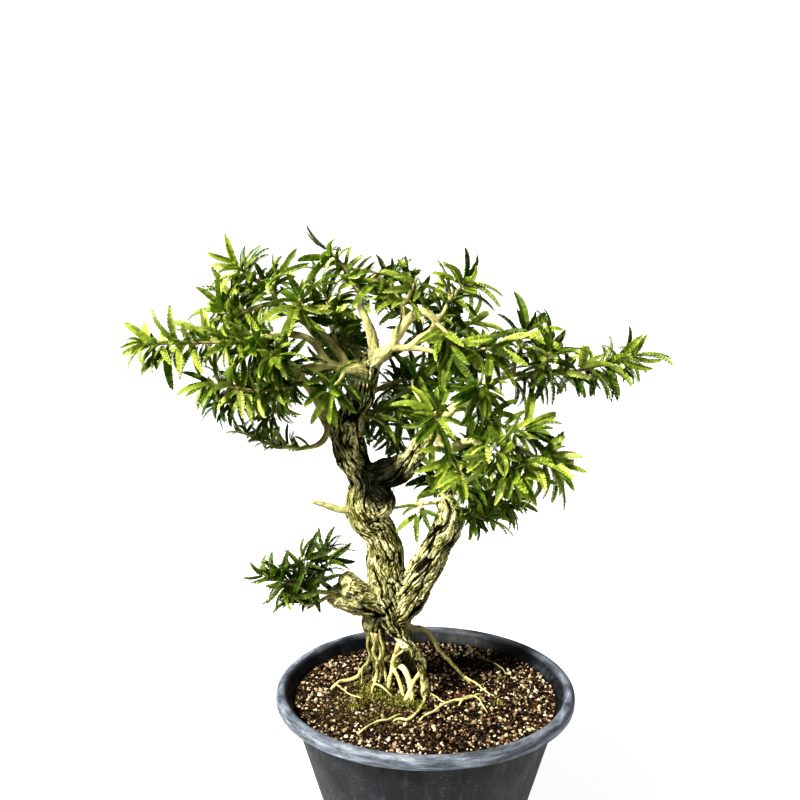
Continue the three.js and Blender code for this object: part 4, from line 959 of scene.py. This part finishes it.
# each branch: base and tip radius, then x, y, z along it and, after >, the shoot
BRANCHES = limbs_of([
    "6 4: -50 -4 424, -57 -9 429, -67 -12 429, -79 -15 434, -91 -18 432, -103 -21 430,"
    "-114 -24 434",
    "4.6 2.2: -80 -15 433, -88 -18 447, -97 -22 457, -109 -26 460, -125 -31 459, -140 -35 458"
    "> long_left 8 1: -152 -38 456, -174 -44 456, -204 -50 456, -238 -56 458",
    "4.5 1.8: -63 -10 429, -73 -9 444, -82 -8 455, -90 -7 461, -101 -5 468, -112 -3 475,"
    "-122 -1 482, -127 1 493, -135 3 498, -144 5 503"
    "> up_left 5 1: -152 6 510, -159 7 518, -166 7 529",
    "2.2 1.5: -122 -1 482, -134 -8 481, -147 -14 477, -158 -18 475"
    "> fan 5 1.15: -172 -20 478, -181 -22 483, -188 -24 488",
    "1.6 1.3: -147 -14 477, -154 2 480, -161 10 482 > inner_fan 3 1: -168 18 486, -176 24 492",
    "1.7 1.4: -127 1 493, -123 -4 499 > left_crown 3 1: -118 -7 507, -115 -9 516",
    "2 1.5: -101 -5 468, -102 -16 476, -102 -24 482 > hanging 3 1.1: -100 -31 490, -98 -36 498",
    "1.7 1.4: -129 -32 459, -134 -40 453 > below_long 3 1: -139 -46 446, -144 -50 438",
    "2.4 1.5: -71 -9 441, -75 2 452, -79 7 462, -81 10 472"
    "> grey 4 1.1: -83 12 485, -86 14 497, -86 16 509",
    "6.5 1.6: -44 -4 432, -43 -4 444, -45 -3 455, -50 -1 469, -54 1 480, -54 3 489, -61 6 498,"
    "-67 8 509, -74 9 518 > leader 3 1: -81 10 526, -88 10 533",
    "1.9 1.4: -54 2 487, -48 2 495, -44 0 503 > leader_fork 3 1: -38 -3 509, -30 -6 514",
    "6 2.6: -43 -5 434, -29 -11 449, -23 -15 460, -16 -19 470, -9 -22 476, -2 -24 478, 3 -25 475,"
    "7 -26 470",
    "3 2: -21 -16 463, -19 -14 475, -21 -12 484, -27 -9 493, -33 -6 498"
    "> right_up 3 1: -39 -3 503, -46 1 509, -52 4 513",
    "1.9 1.4: -20 -12 482, -15 -18 490, -12 -22 497 > right_up_fork 3 1: -8 -25 506, -4 -27 514",
    "3.4 2.5: -28 -12 448, -15 -16 448, -6 -20 457, 2 -23 462, 7 -26 471",
    "2.4 1.7: 7 -26 469, 13 -26 479, 18 -25 487, 24 -24 495"
    "> right_top 5 1: 28 -22 502, 33 -20 510, 37 -18 517",
    "1.6 1.3: 18 -25 487, 17 -18 495 > spire 2 1: 17 -13 503, 18 -9 512, 21 -7 521",
    "1.8 1.4: 7 -26 470, 14 -32 463, 17 -36 457 > right_drop 3 1: 20 -40 449, 22 -44 441",
    "3 1.4: -16 -16 448, -2 -20 447, 10 -25 445, 19 -29 448, 30 -33 448, 41 -37 450"
    "> right_mid 4 1: 52 -41 451, 62 -45 449, 73 -48 445",
    "5.5 1.8: 4 -23 379, 13 -27 391, 20 -30 400, 28 -31 408, 37 -31 413, 47 -30 417, 56 -29 423,"
    "69 -27 427, 84 -25 427, 99 -23 427"
    "> long_right 9 1: 115 -20 428, 134 -17 432, 157 -14 440, 181 -12 443, 193 -11 439",
    "1.6 1.2: 69 -27 427, 71 -27 440, 74 -25 452 > riser 3 1: 78 -23 463, 83 -20 472",
    "1.6 1.3: 85 -25 427, 90 -32 435, 93 -37 440 > long_front 3 1: 101 -42 447, 108 -46 451",
    "1.5 1.2: 95 -24 427, 96 -14 436, 96 -8 443 > long_back 3 1: 98 -3 450, 101 2 457",
    "2.3 1.5: 24 -31 404, 38 -40 406, 48 -46 400, 57 -49 391, 67 -51 387"
    "> east 5 1: 78 -52 385, 88 -53 386, 98 -53 385",
    "5 1.5: 4 -23 380, 10 -28 373, 17 -34 369, 26 -40 374, 37 -45 378, 47 -48 380, 57 -51 379,"
    "66 -53 376, 73 -55 370 > lower_right 4 1: 78 -57 362, 80 -60 351, 81 -62 339",
    "1.5 1.3: 70 -54 373, 81 -50 367, 90 -46 364"
    "> south_east 4 1: 100 -42 358, 109 -38 348, 115 -35 338",
    "1.7 1.3: 36 -45 378, 44 -52 367, 51 -58 361, 62 -63 358 > south 2 1: 71 -67 356, 77 -70 349",
    "1.8 1.4: 17 -34 369, 20 -44 363, 23 -50 357 > inner_south 3 1: 28 -55 352, 32 -58 344",
    "3.2 1.8: 15 -9 316, 13 -4 325, 8 2 333 > second_left 3 1: 5 7 340, 4 12 349",
    "3.2 1.8: 16 -9 315, 24 2 327, 31 12 337, 36 20 347"
    "> second_right 4 1: 42 28 356, 49 36 363, 55 42 370",
    "2.6 1.5: 22 -12 303, 35 -18 309, 44 -22 315, 52 -25 323"
    "> low_east 3 1: 60 -28 330, 69 -31 338, 75 -33 344",
    "1.6 1.2: 44 -22 315, 56 -14 314, 65 -7 315 > low_back 3 1: 74 0 315, 84 6 311",
    "1.4 1.2: 36 -18 309, 41 -26 309 > low_hang 2 1: 47 -31 308, 52 -35 306",
    "1.7 1: 13 -9 317, -3 -10 315, -17 -9 313, -28 -8 311",
    "1.2 1.1: -4 -10 315, -5 -14 313 > bridge 1 0.85: -6 -17 310",
    "1.4 1: -56 3 390, -39 2 383, -32 2 377, -27 2 370 > wisp 2 0.8: -22 2 365, -16 2 366",
    "2 1.4: -52 2 391, -39 14 389, -27 24 388 > behind_right 4 1: -15 32 389, -5 40 392, 6 46 394",
    "2.2 1.4: 8 -24 383, 3 -14 394, -5 -4 402, -10 2 409 > back_fan 3 1: -12 6 416, -14 10 424",
    "4.2 1.8: -50 2 427, -59 24 437, -69 42 446, -74 56 456 > back_up 3 1: -76 66 466, -74 74 477",
    "1.9 1.4: -111 36 417, -125 44 409, -137 50 404"
    "> back_left_low 3 1: -151 56 403, -164 62 406, -177 66 407",
    "4.4 1.8: -46 0 431, -26 26 438, -6 46 444, 15 62 450, 33 74 454"
    "> back_right 3 1: 48 82 457, 63 90 459",
    "2 1.4: -6 46 444, -3 56 456, -1 63 466 > back_right_up 3 1: -3 70 476, -8 76 486",
    "1.9 1.4: 15 62 450, 26 72 438, 35 80 428 > back_right_low 3 1: 45 86 418, 56 92 410",
    "4.2 1.8: -56 3 401, -41 30 405, -25 50 408, -8 66 411"
    "> back_east 3 1: 7 76 411, 21 84 407, 34 90 403",
    "1.7 1.4: -25 50 408, -24 62 395 > back_low 3 1: -27 72 384, -33 82 375",
    "4 1.7: -53 4 421, -56 36 431, -61 64 438, -65 86 442 > rear 3 1: -71 102 447, -76 116 454",
    "1.9 1.4: -56 36 431, -69 54 425, -81 68 419 > rear_left 3 1: -94 80 417, -107 90 419",
    "2 1.4: -67 -13 428, -70 -22 422, -74 -28 419 > pale_drop 3 1.1: -80 -36 418, -87 -44 417",
    "2.5 1.5: -101 -21 430, -104 -26 423, -111 -31 418, -123 -37 418, -135 -42 417"
    "> low_left 6 1: -148 -47 420, -166 -52 424, -180 -56 424, -194 -60 425",
    "1.5 1.2: -123 -37 418, -132 -34 412, -142 -32 409"
    "> low_left_fork 3 0.75: -155 -31 407, -170 -30 403, -182 -30 402",
    "1.5 1.2: -111 -31 418, -117 -29 409, -122 -27 399"
    "> dropper 3 0.75: -127 -27 393, -134 -27 388, -142 -27 384",
    "4.4 1.6: -84 11 391, -89 8 390, -86 4 384, -83 0 377, -85 -4 370, -92 -8 365, -102 -10 363,"
    "-113 -12 364, -124 -13 365 > curl 4 0.75: -136 -14 370, -150 -16 377, -163 -18 387",
    "3 1.7: -68 -14 240, -86 -20 241, -96 -24 244, -103 -27 247, -110 -30 251"
    "> stump 5 1: -121 -34 257, -134 -38 263, -146 -42 266",
    "1.6 1.3: -103 -27 247, -103 -24 257, -103 -22 263"
    "> stump_riser 3 1: -104 -20 271, -101 -18 279",
    "1.7 1.3: -95 -24 244, -88 -18 253, -84 -14 262"
    "> stump_tall 4 0.85: -84 -11 272, -81 -9 282, -78 -8 292",
    "2 1.3: -70 -15 238, -84 -18 235, -91 -22 232, -100 -27 233, -107 -32 239"
    "> stump_arc 3 1: -114 -36 245, -123 -41 249, -132 -45 248",
    "3.2 1.8: -56 -6 306, -72 -13 311, -83 -17 316, -94 -20 320",
    "1.9 1.4: 6 -25 384, 7 -36 394 > front_right 3 1: 6 -44 402, 5 -50 411",
    "1.8 1.4: 37 -31 413, 38 -42 419, 39 -52 424 > front_top 3 1: 41 -62 429, 43 -72 436",
    "1.6 1.3: 47 -48 380, 50 -60 377 > front_low 3 1: 54 -70 374, 59 -80 374",
    "2 1.4: -113 -24 433, -115 -36 439, -119 -46 445 > front_left 3 1: -122 -56 452, -126 -66 457",
])


branch_wood = Wood()
twig_wood = Wood()
for base, tip, rows, shoot in BRANCHES:
    thick = base >= THICK_BASE
    dead = not shoot and rows[0][2] < STUMP_TOP
    foot = base * (1.2 if dead else 0.8 if thick else 1)
    taper = np.linspace(1, 0, len(rows)) ** (1.2 if shoot else 0.8)
    line = smooth_course(np.column_stack([rows, tip + (foot - tip) * taper]), 2)
    line[:6, 3] *= np.linspace(1.25, 1, 6)[:len(line[:6])]
    line = roughened(line, 1.2, 9, 0.28, 4.5, 71)
    (branch_wood if thick else twig_wood).add(line, 16 if thick else 8)
branches = branch_wood.grown_together("branches", BRANCH_VOXEL)
carve_bark(branches, branch_wood.lines, 0.8, 57, old=(3.6, 8.5))
finished(branches, "wood", bark)
finished(twig_wood.mesh("twigs"), "wood", bark)

# The leafy shoots
# Each is a thin green stem with leaves in a spiral. A leaf forks from its stalk into two arched
# blades, and a blade is a thread-like rib with many small overlapping leaflets on both sides.
BLADE_LENGTH = 33
BLADE_WIDTH = 0.23
STALK_LENGTH = 5.5
GOLDEN_ANGLE = 2.4
LEAF_SHARE = 0.75
SHORTEST_STEM = 8
LEAF_GAP = 0.5
BEAD_STEP = 3
TRIES = 14
SHOOT_GAP = 0.35
LEAF_SPACING = 3.4
LEAFY_WOOD = 36
LEAFLET_STEP = 2.3
EYE = np.array([-22, -897, 576])
CANOPY_DEPTH = (-112, 148)
# leaves below this height are the stump's: smaller, and given painted shade, a darker tint
LOW_LEAVES = 332
# the middle of the crown and its reach along x, y and z: leaves near it get painted shade, a darker
# tint
CROWN_HEART = np.array([-20, 15, 425])
CROWN_REACH = np.array([200, 120, 110])
# the outline of the foliage from the front, on the plane y = 0
CANOPY_OUTLINE = rows_of(
    "-264 454, -247 464, -236 485, -233 503, -217 514, -192 517, -174 520, -167 535, -158 530,"
    "-134 529, -119 521, -101 524, -95 541, -85 539, -66 530, -53 516, -24 519, -12 506, 7 503,"
    "17 519, 22 537, 28 530, 35 523, 57 521, 65 505, 73 491, 84 475, 101 472, 109 457, 128 447,"
    "148 445, 159 455, 183 457, 200 459, 217 448, 215 440, 193 433, 176 424, 160 413, 147 407,"
    "107 410, 105 400, 112 376, 127 374, 126 362, 121 349, 140 338, 137 326, 130 310, 126 298,"
    "112 301, 89 285, 63 286, 36 286, 12 271, -5 262, -39 280, -68 342, -78 357, -131 359,"
    "-164 375, -180 387, -209 396, -231 398, -247 431, -263 436"
)
STUMP_OUTLINE = rows_of(
    "-169 257, -155 262, -116 266, -104 283, -86 293, -63 294, -46 262, -57 215, -82 218,"
    "-117 223, -125 215, -133 203, -144 220, -159 237, -169 250"
)


def seeded_random(seed):
    """Even random numbers from 0 to 1 that come out the same every time."""
    state = seed % 4294967296
    while True:
        state = (1664525 * state + 1013904223) % 4294967296
        yield state / 4294967296


class Beads:
    """Round room already taken by wood and leaves, each with its owner."""

    def __init__(self):
        self.rows = np.zeros((0, 5))

    def take(self, rows):
        self.rows = np.vstack([self.rows, rows])

    def along(self, line, owner):
        rows = []
        for a, b in zip(line, line[1:]):
            steps = math.ceil(np.linalg.norm((b - a)[:3]) / BEAD_STEP)
            rows += [[*(a + (b - a) * k / steps), owner] for k in range(steps + 1)]
        self.take(np.array(rows))

    def clear(self, rows, gap):
        near = self.rows[np.abs(self.rows[:, :3] - rows[:, :3].mean(0)).max(1) < 45]
        away = np.linalg.norm(near[:, None, :3] - rows[None, :, :3], axis=2)
        other = near[:, None, 4] != rows[None, :, 4]
        return bool((away > near[:, None, 3] + rows[None, :, 3] + other * gap).all())


class Blade:
    """One half of a leaf: an arched rib with its face turned to the light."""

    curl = 0

    def __init__(self, fork, heading, normal, length, droop):
        self.fork, self.heading, self.normal = fork, heading, normal
        self.length, self.droop = length, droop

    def spine(self, f):
        f = np.asarray(f)[..., None]
        sag = self.length * (self.droop * f * f + self.curl * f ** 4)
        return self.fork + self.heading * self.length * f - self.normal * sag

    def half_width(self, f):
        bulge = np.sqrt(np.sin(math.pi * (0.12 + 0.84 * np.asarray(f))))
        return 0.5 * BLADE_WIDTH * self.length * bulge

    def beads(self, owner, share):
        f = np.arange(1, 7) / 6
        return np.column_stack([self.spine(f), share * self.half_width(f), np.full(6, owner)])


def leaf_blades(root, axis, face, size, spread, droop):
    """The two blades of a leaf whose stalk leaves root along axis."""
    normal = unit(face - axis * (face @ axis))
    side = np.cross(normal, axis)
    fork = root + axis * STALK_LENGTH * size
    blades = []
    for hand in (-1, 1):
        heading = axis * math.cos(spread) + side * hand * math.sin(spread)
        blades.append(Blade(fork, heading, normal, BLADE_LENGTH * size, droop))
    return blades


def inside_foliage(point):
    """Whether a point lies inside the outline that the foliage shows from the front."""
    if not CANOPY_DEPTH[0] <= point[1] <= CANOPY_DEPTH[1]:
        return False
    scale = -EYE[1] / (point[1] - EYE[1])
    x, z = EYE[0] + (point[0] - EYE[0]) * scale, EYE[2] + (point[2] - EYE[2]) * scale
    for outline in (CANOPY_OUTLINE, STUMP_OUTLINE):
        inside = False
        for (x1, z1), (x2, z2) in zip(outline, np.roll(outline, -1, axis=0)):
            if (z1 > z) != (z2 > z) and x < x1 + (x2 - x1) * (z - z1) / (z2 - z1):
                inside = not inside
        if inside:
            return True
    return False


def place_along(line, distance):
    """The point and the direction at a distance along a line."""
    for a, b in zip(line, line[1:]):
        step = np.linalg.norm((b - a)[:3])
        if distance <= step or b is line[-1]:
            direction = (b - a)[:3] / step
            return a[:3] + direction * min(distance, step), direction
        distance -= step


def line_length(line):
    return steps_along(line).sum()


def shortened(line, length):
    kept = [line[0]]
    for a, b in zip(line, line[1:]):
        step = np.linalg.norm((b - a)[:3])
        if step >= length - 2:
            kept.append(a + (b - a) * min(length / step, 1))
            break
        kept.append(b)
        length -= step
    return np.array(kept)


def shoot_line(rows, tip_radius, shoot, share=1):
    """The stem of a shoot: from the tip of its branch to a little short of its last leaf."""
    tip, before = rows[-1][:3], rows[-2][:3]
    foot = tip + unit(tip - before) * SHOOT_GAP
    course = [foot, *shoot[3]]
    radii = np.linspace(max(0.9 * tip_radius, 1.05), 0.95, len(course))
    line = np.column_stack([course, radii])
    last_leaf = LEAF_SHARE * (BLADE_LENGTH + STALK_LENGTH) * shoot[2] * share
    return shortened(line, max(line_length(line) - last_leaf, SHORTEST_STEM))


def grow_leaves(line, count, size, owner, taken, seed, extra=False):
    """Leaves in a spiral from the tip back, each turned round the stem until it has room."""
    random = seeded_random(seed)
    length = line_length(line)
    spiral = next(random) * 2 * math.pi
    leaves = []
    for i in range(count):
        along = i + (0.35 * (next(random) - 0.5) if i else 0)
        back = length * (0.98 if extra else 0.86) * along / count
        point, direction = place_along(line, length - 1.2 - back)
        level = (0, 0, 1) if abs(direction[2]) < 0.92 else (1, 0, 0)
        sideways = unit(np.cross(level, direction))
        upward = np.cross(direction, sideways)
        opening = 0.85 + 0.35 * next(random) if i else 0.15 + 0.25 * next(random)
        leaf_size = size * (0.84 + 0.3 * next(random))
        spread, droop = 0.36 + 0.18 * next(random), 0.05 + 0.28 * next(random)
        lean = np.array([next(random) - 0.5 for _ in range(3)])
        if extra:
            leaf_size *= 0.55 + 0.35 * next(random)
        outward = unit(np.array([point[0] + 40, point[1], 0]))
        face = np.array([0, -0.35, 0.5]) + outward * 0.5 + lean * 1.3
        share, gap = (0.5, 0.1) if extra else (1.05, LEAF_GAP)
        for attempt in range(TRIES):
            turn = spiral + i * GOLDEN_ANGLE + attempt * 0.55
            axis = direction * math.cos(opening)
            axis += (sideways * math.cos(turn) + upward * math.sin(turn)) * math.sin(opening)
            axis[2] -= 0.2 if i else 0
            blades = leaf_blades(point, unit(axis), face, leaf_size, spread, droop)
            rows = np.vstack([blade.beads(owner, share) for blade in blades])
            if taken.clear(rows, gap) and all(inside_foliage(blade.spine(0.7)) for blade in blades):
                taken.take(rows)
                leaves.append((point, blades))
                break
    return leaves


def leaf_share(point):
    """How large leaves grow here: small low down, and smaller on the left than on the right."""
    if point[2] < LOW_LEAVES:
        return 0.7
    return 0.8 + 0.1 * smooth_step(point[0], -110, -20)


def leaflet():
    """One leaflet 1 mm long and 1 mm wide: oblong, pointed, folded a little along its midrib."""
    points = [
        (-0.22, 0, 0), (0.3, -0.42, 0.03), (0.85, -0.36, 0.03), (1, 0.12, 0), (0.45, 0.46, 0.03),
        (0.5, 0, 0.015), (0.5, 0, -0.04),
    ]
    faces = []
    for k in range(5):
        step = (k + 1) % 5
        faces += [(5, k, step), (6, step, k)]
    return shape_object("leaflet_shape", points, faces)


def leaflet_growth(material):
    """Sets a leaflet on every point of a rib, turned and sized by what the point carries."""
    growth = Growth("leaflets")
    length, thickness = growth.input("Length", 1.0), growth.input("Thickness", 4.5)
    turn, size = (
        growth.node("GeometryNodeInputNamedAttribute", {"Name": name}, data_type="FLOAT_VECTOR")
        for name in ("turn", "size")
    )
    scale = growth.node("ShaderNodeCombineXYZ", {0: length, 1: length, 2: thickness})
    scale = growth.node("ShaderNodeVectorMath", {0: size, 1: scale}, operation="MULTIPLY")
    turn = growth.node("FunctionNodeEulerToRotation", {0: turn})
    placed = growth.instances(growth.mesh, growth.shape(leaflet()), turn, scale)
    growth.close(placed, material)
    return growth


def rib_rows(blade, tint, random):
    """Where the leaflets of one blade sit: place, turn, size and tint."""
    pairs = max(int(blade.length / LEAFLET_STEP), 8)
    f = (np.arange(pairs) + 0.35) / (pairs - 0.2)
    sag = (2 * blade.droop * f + 4 * blade.curl * f ** 3)[:, None]
    run = unit(blade.heading - blade.normal[None] * sag)
    up = unit(blade.normal - run * (run @ blade.normal)[:, None])
    rows = []
    for hand in (-1, 1):
        places = blade.spine(f + (0.45 / pairs if hand > 0 else 0))
        side = np.cross(up, run) * hand
        lean = 0.6 - 0.25 * f[:, None] + random.uniform(-0.1, 0.1, (len(f), 1))
        lift = up * random.uniform(0.3, 0.5, (len(f), 1))
        axis = unit(side * np.cos(lean) + run * np.sin(lean) + lift)
        face = unit(up - axis * (up * axis).sum(1)[:, None])
        face = unit(face + run * random.uniform(-0.12, 0.12, (len(f), 1)))
        wide = np.cross(face, axis)
        roll, yaw = np.arctan2(wide[:, 2], face[:, 2]), np.arctan2(axis[:, 1], axis[:, 0])
        pitch = np.arcsin(np.clip(-axis[:, 2], -1, 1))
        reach = blade.half_width(f) * 1.2 / np.cos(lean[:, 0] * 0.8)
        size = [reach, np.full(len(f), blade.length / pairs * 1.9), np.ones(len(f))]
        shade = np.clip(tint + random.normal(0, 0.07, len(f)), 0, 0.9)
        rows.append(np.column_stack([places + up * 0.2, roll, pitch, yaw, *size, shade]))
    return np.vstack(rows)


def leaf_finish():
    """Thin living leaf with a soft waxy gloss: deep green to yellow-green by its tint, which holds
    random tone and painted shade.
    """
    finish = Finish("leaf", 0.6, 0.35)
    colour = finish.ramp(
        finish.attribute("tint"),
        (0.0, (0.006, 0.012, 0.001)), (0.32, (0.075, 0.12, 0.008)),
        (0.62, (0.31, 0.38, 0.05)), (1.0, (0.52, 0.58, 0.18)),
    )
    veins = finish.noise(finish.place(), 900, 2)
    pale = finish.step(veins, 0.4, 0.7) * 0.18
    finish.set("Base Color", finish.blend(pale, colour, (0.4, 0.5, 0.1)))
    finish.set("Subsurface Weight", 0.25)
    finish.set("Subsurface Radius", (0.3, 1.0, 0.1))
    finish.set("Subsurface Scale", 0.0008)
    finish.bump(veins, 0.3, 0.2)
    return finish.material


def stem_finish():
    """Young stems, brownish green going to straw."""
    finish = Finish("green_stem", 0.6)
    where = finish.place()
    finish.set("Base Color", finish.ramp(
        finish.noise(where, 160, 3),
        (0.35, (0.26, 0.22, 0.08)), (0.55, (0.52, 0.42, 0.22)), (0.7, (0.64, 0.53, 0.32)),
    ))
    finish.bump(finish.noise(where, 800, 2), 0.4, 0.2)
    return finish.material


def stalk_finish():
    """Thread-like leaf stalks and ribs, green."""
    finish = Finish("leaf_stalk", 0.5)
    patches = finish.noise(finish.place(), 300, 2)
    green = finish.ramp(patches, (0.4, (0.08, 0.13, 0.015)), (0.6, (0.2, 0.26, 0.05)))
    finish.set("Base Color", green)
    return finish.material


# the wood that takes up room, and the shoots that go on from its tips
taken = Beads()
shoots = []
for _, _, rows, shoot in TRUNKS:
    taken.along(rows, 0)
    if shoot:
        shoots.append((shoot, rows, rows[-1][3]))
for base, tip, rows, shoot in BRANCHES:
    taken.along(np.column_stack([rows, np.linspace(base, tip, len(rows))]), 0)
    if shoot:
        shoots.append((shoot, rows, tip))
stems = [shoot_line(rows, tip, shoot) for shoot, rows, tip in shoots]
for owner, line in enumerate(stems, 1):
    taken.along(line, owner)
crowns = []
for owner, ((shoot, rows, tip), line) in enumerate(zip(shoots, stems), 1):
    crowns.append(grow_leaves(line, shoot[1], shoot[2], owner, taken, owner * 7919 + 101))

# smaller leaves on the whole shoot and on the last of its branch
for owner, ((shoot, rows, tip), crown) in enumerate(zip(shoots, crowns), 1):
    share = leaf_share(stems[owner - 1][0])
    line = stems[owner - 1] = shoot_line(rows, tip, shoot, share ** 2)
    bare = np.column_stack([rows[-4:, :3], np.ones(len(rows[-4:]))])
    longer = np.vstack([shortened(bare[::-1], min(LEAFY_WOOD, line_length(bare)))[::-1], line])
    count = int(line_length(longer) / (LEAF_SPACING * share ** 1.6))
    for point, blades in crown:
        for blade in blades:
            blade.length *= share
    seed = owner * 7919 + 505
    crown += grow_leaves(longer, count, shoot[2] * share, owner, taken, seed, extra=True)

leaf_paint, stem_paint, stalk_paint = leaf_finish(), stem_finish(), stalk_finish()
leaflets = leaflet_growth(leaf_paint)
for owner, ((shoot, *_), line, crown) in enumerate(zip(shoots, stems, crowns), 1):
    random = np.random.default_rng(owner)
    green = Wood()
    start = line[0].copy()
    start[:3] -= unit((line[1] - line[0])[:3]) * 1.2
    green.add(smooth_course(np.vstack([start, line]), 3), 6)
    woody = len(green.faces)
    rows = []
    for point, blades in crown:
        fork = blades[0].fork
        stalk = [[*point, 0.6], [*((point + fork) / 2), 0.45], [*fork, 0.45]]
        green.add(np.array(stalk), 4, domed=False)
        # painted shade: leaves near the crown's heart and low down get a darker tint, the outer and
        # upper ones a lighter one
        outer = smooth_step(np.linalg.norm((point - CROWN_HEART) / CROWN_REACH), 0.25, 1.05)
        depth = outer * smooth_step(point[2], 290, 350)
        tone_and_painted_shade = random.normal(0.27 + 0.33 * depth, 0.18) - 0.06 * (point[2] < LOW_LEAVES)
        for blade in blades:
            blade.curl = random.uniform(0.02, 0.2)
            rib = blade.spine(np.linspace(0, 1, 6)) - blade.normal * 0.35
            green.add(np.column_stack([rib, np.linspace(0.34, 0.16, 6)]), 3, domed=False)
            rows.append(rib_rows(blade, tone_and_painted_shade + random.normal(0, 0.06), random))
    name = shoot[0].removeprefix("shoot_")
    stem = green.mesh("stem_" + name)
    stem.data.materials.append(stem_paint)
    stem.data.materials.append(stalk_paint)
    paints = [int(k >= woody) for k in range(len(green.faces))]
    stem.data.polygons.foreach_set("material_index", paints)
    finished(stem, shoot[0])
    rows = np.vstack(rows)
    leaves = mesh_object("leaves_" + name, rows[:, :3], [])
    for label, part in ("turn", rows[:, 3:6]), ("size", rows[:, 6:9]), ("tint", rows[:, 9]):
        set_attribute(leaves, label, part)
    finished(leaflets.work(leaves), shoot[0])

# The studio
# A round pale table that glows a little before a white surround, a hard key light from the upper
# left front and a weak fill from the right. The camera stands where the photograph was taken.
TABLE_RADIUS = 800
TABLE_MIDDLE = (200, 150)
angles = 2 * math.pi * np.arange(64) / 64
round_edge = np.column_stack([np.cos(angles), np.sin(angles)]) * TABLE_RADIUS + TABLE_MIDDLE
round_edge = np.column_stack([round_edge, 0 * angles])
floor = mesh_object("floor", round_edge, [tuple(range(64))])
paper = Finish("studio_paper", 0.9)
paper.set("Base Color", paper.blend(paper.noise(paper.place(), 2), (0.4,) * 3, (0.42,) * 3))
paper.set("Emission Color", (1, 1, 1))
paper.set("Emission Strength", 0.62)
floor.data.materials.append(paper.material)


def set_up(name, data, place, facing=None):
    """Puts a light or the camera in its place."""
    made = bpy.data.objects.new(name, data)
    made.location = place
    if facing:
        made.rotation_euler = Vector(facing).to_track_quat("-Z", "Y").to_euler()
    bpy.context.scene.collection.objects.link(made)
    return made


sun = bpy.data.lights.new("key", "SUN")
sun.energy, sun.angle, sun.color = 6.8, math.radians(13), (1, 0.98, 0.92)
set_up("key", sun, (0, 0, 0), (0.68, 0.56, -0.8))
fill = bpy.data.lights.new("fill", "AREA")
fill.energy, fill.size = 2, 1.4
set_up("fill", fill, (1.6, -1.4, 0.9), (-1.6, 1.4, -0.6))
world = bpy.data.worlds.new("studio")
world.use_nodes = True
nodes = world.node_tree.nodes
seen = nodes.new("ShaderNodeLightPath").outputs["Is Camera Ray"]
strength = nodes.new("ShaderNodeMapRange")
strength.inputs["To Min"].default_value, strength.inputs["To Max"].default_value = 0.15, 1.0
world.node_tree.links.new(seen, strength.inputs["Value"])
world.node_tree.links.new(strength.outputs[0], nodes["Background"].inputs["Strength"])
nodes["Background"].inputs["Color"].default_value = (1, 1, 1, 1)
scene = bpy.context.scene
scene.world = world
scene.view_settings.view_transform = "Standard"
scene.view_settings.look = "High Contrast"
lens = bpy.data.cameras.new("camera")
lens.lens, lens.sensor_width = 49.5, 36
scene.camera = set_up("camera", lens, (-0.022, -0.897, 0.576))
scene.camera.rotation_euler = (math.radians(79), 0, 0)
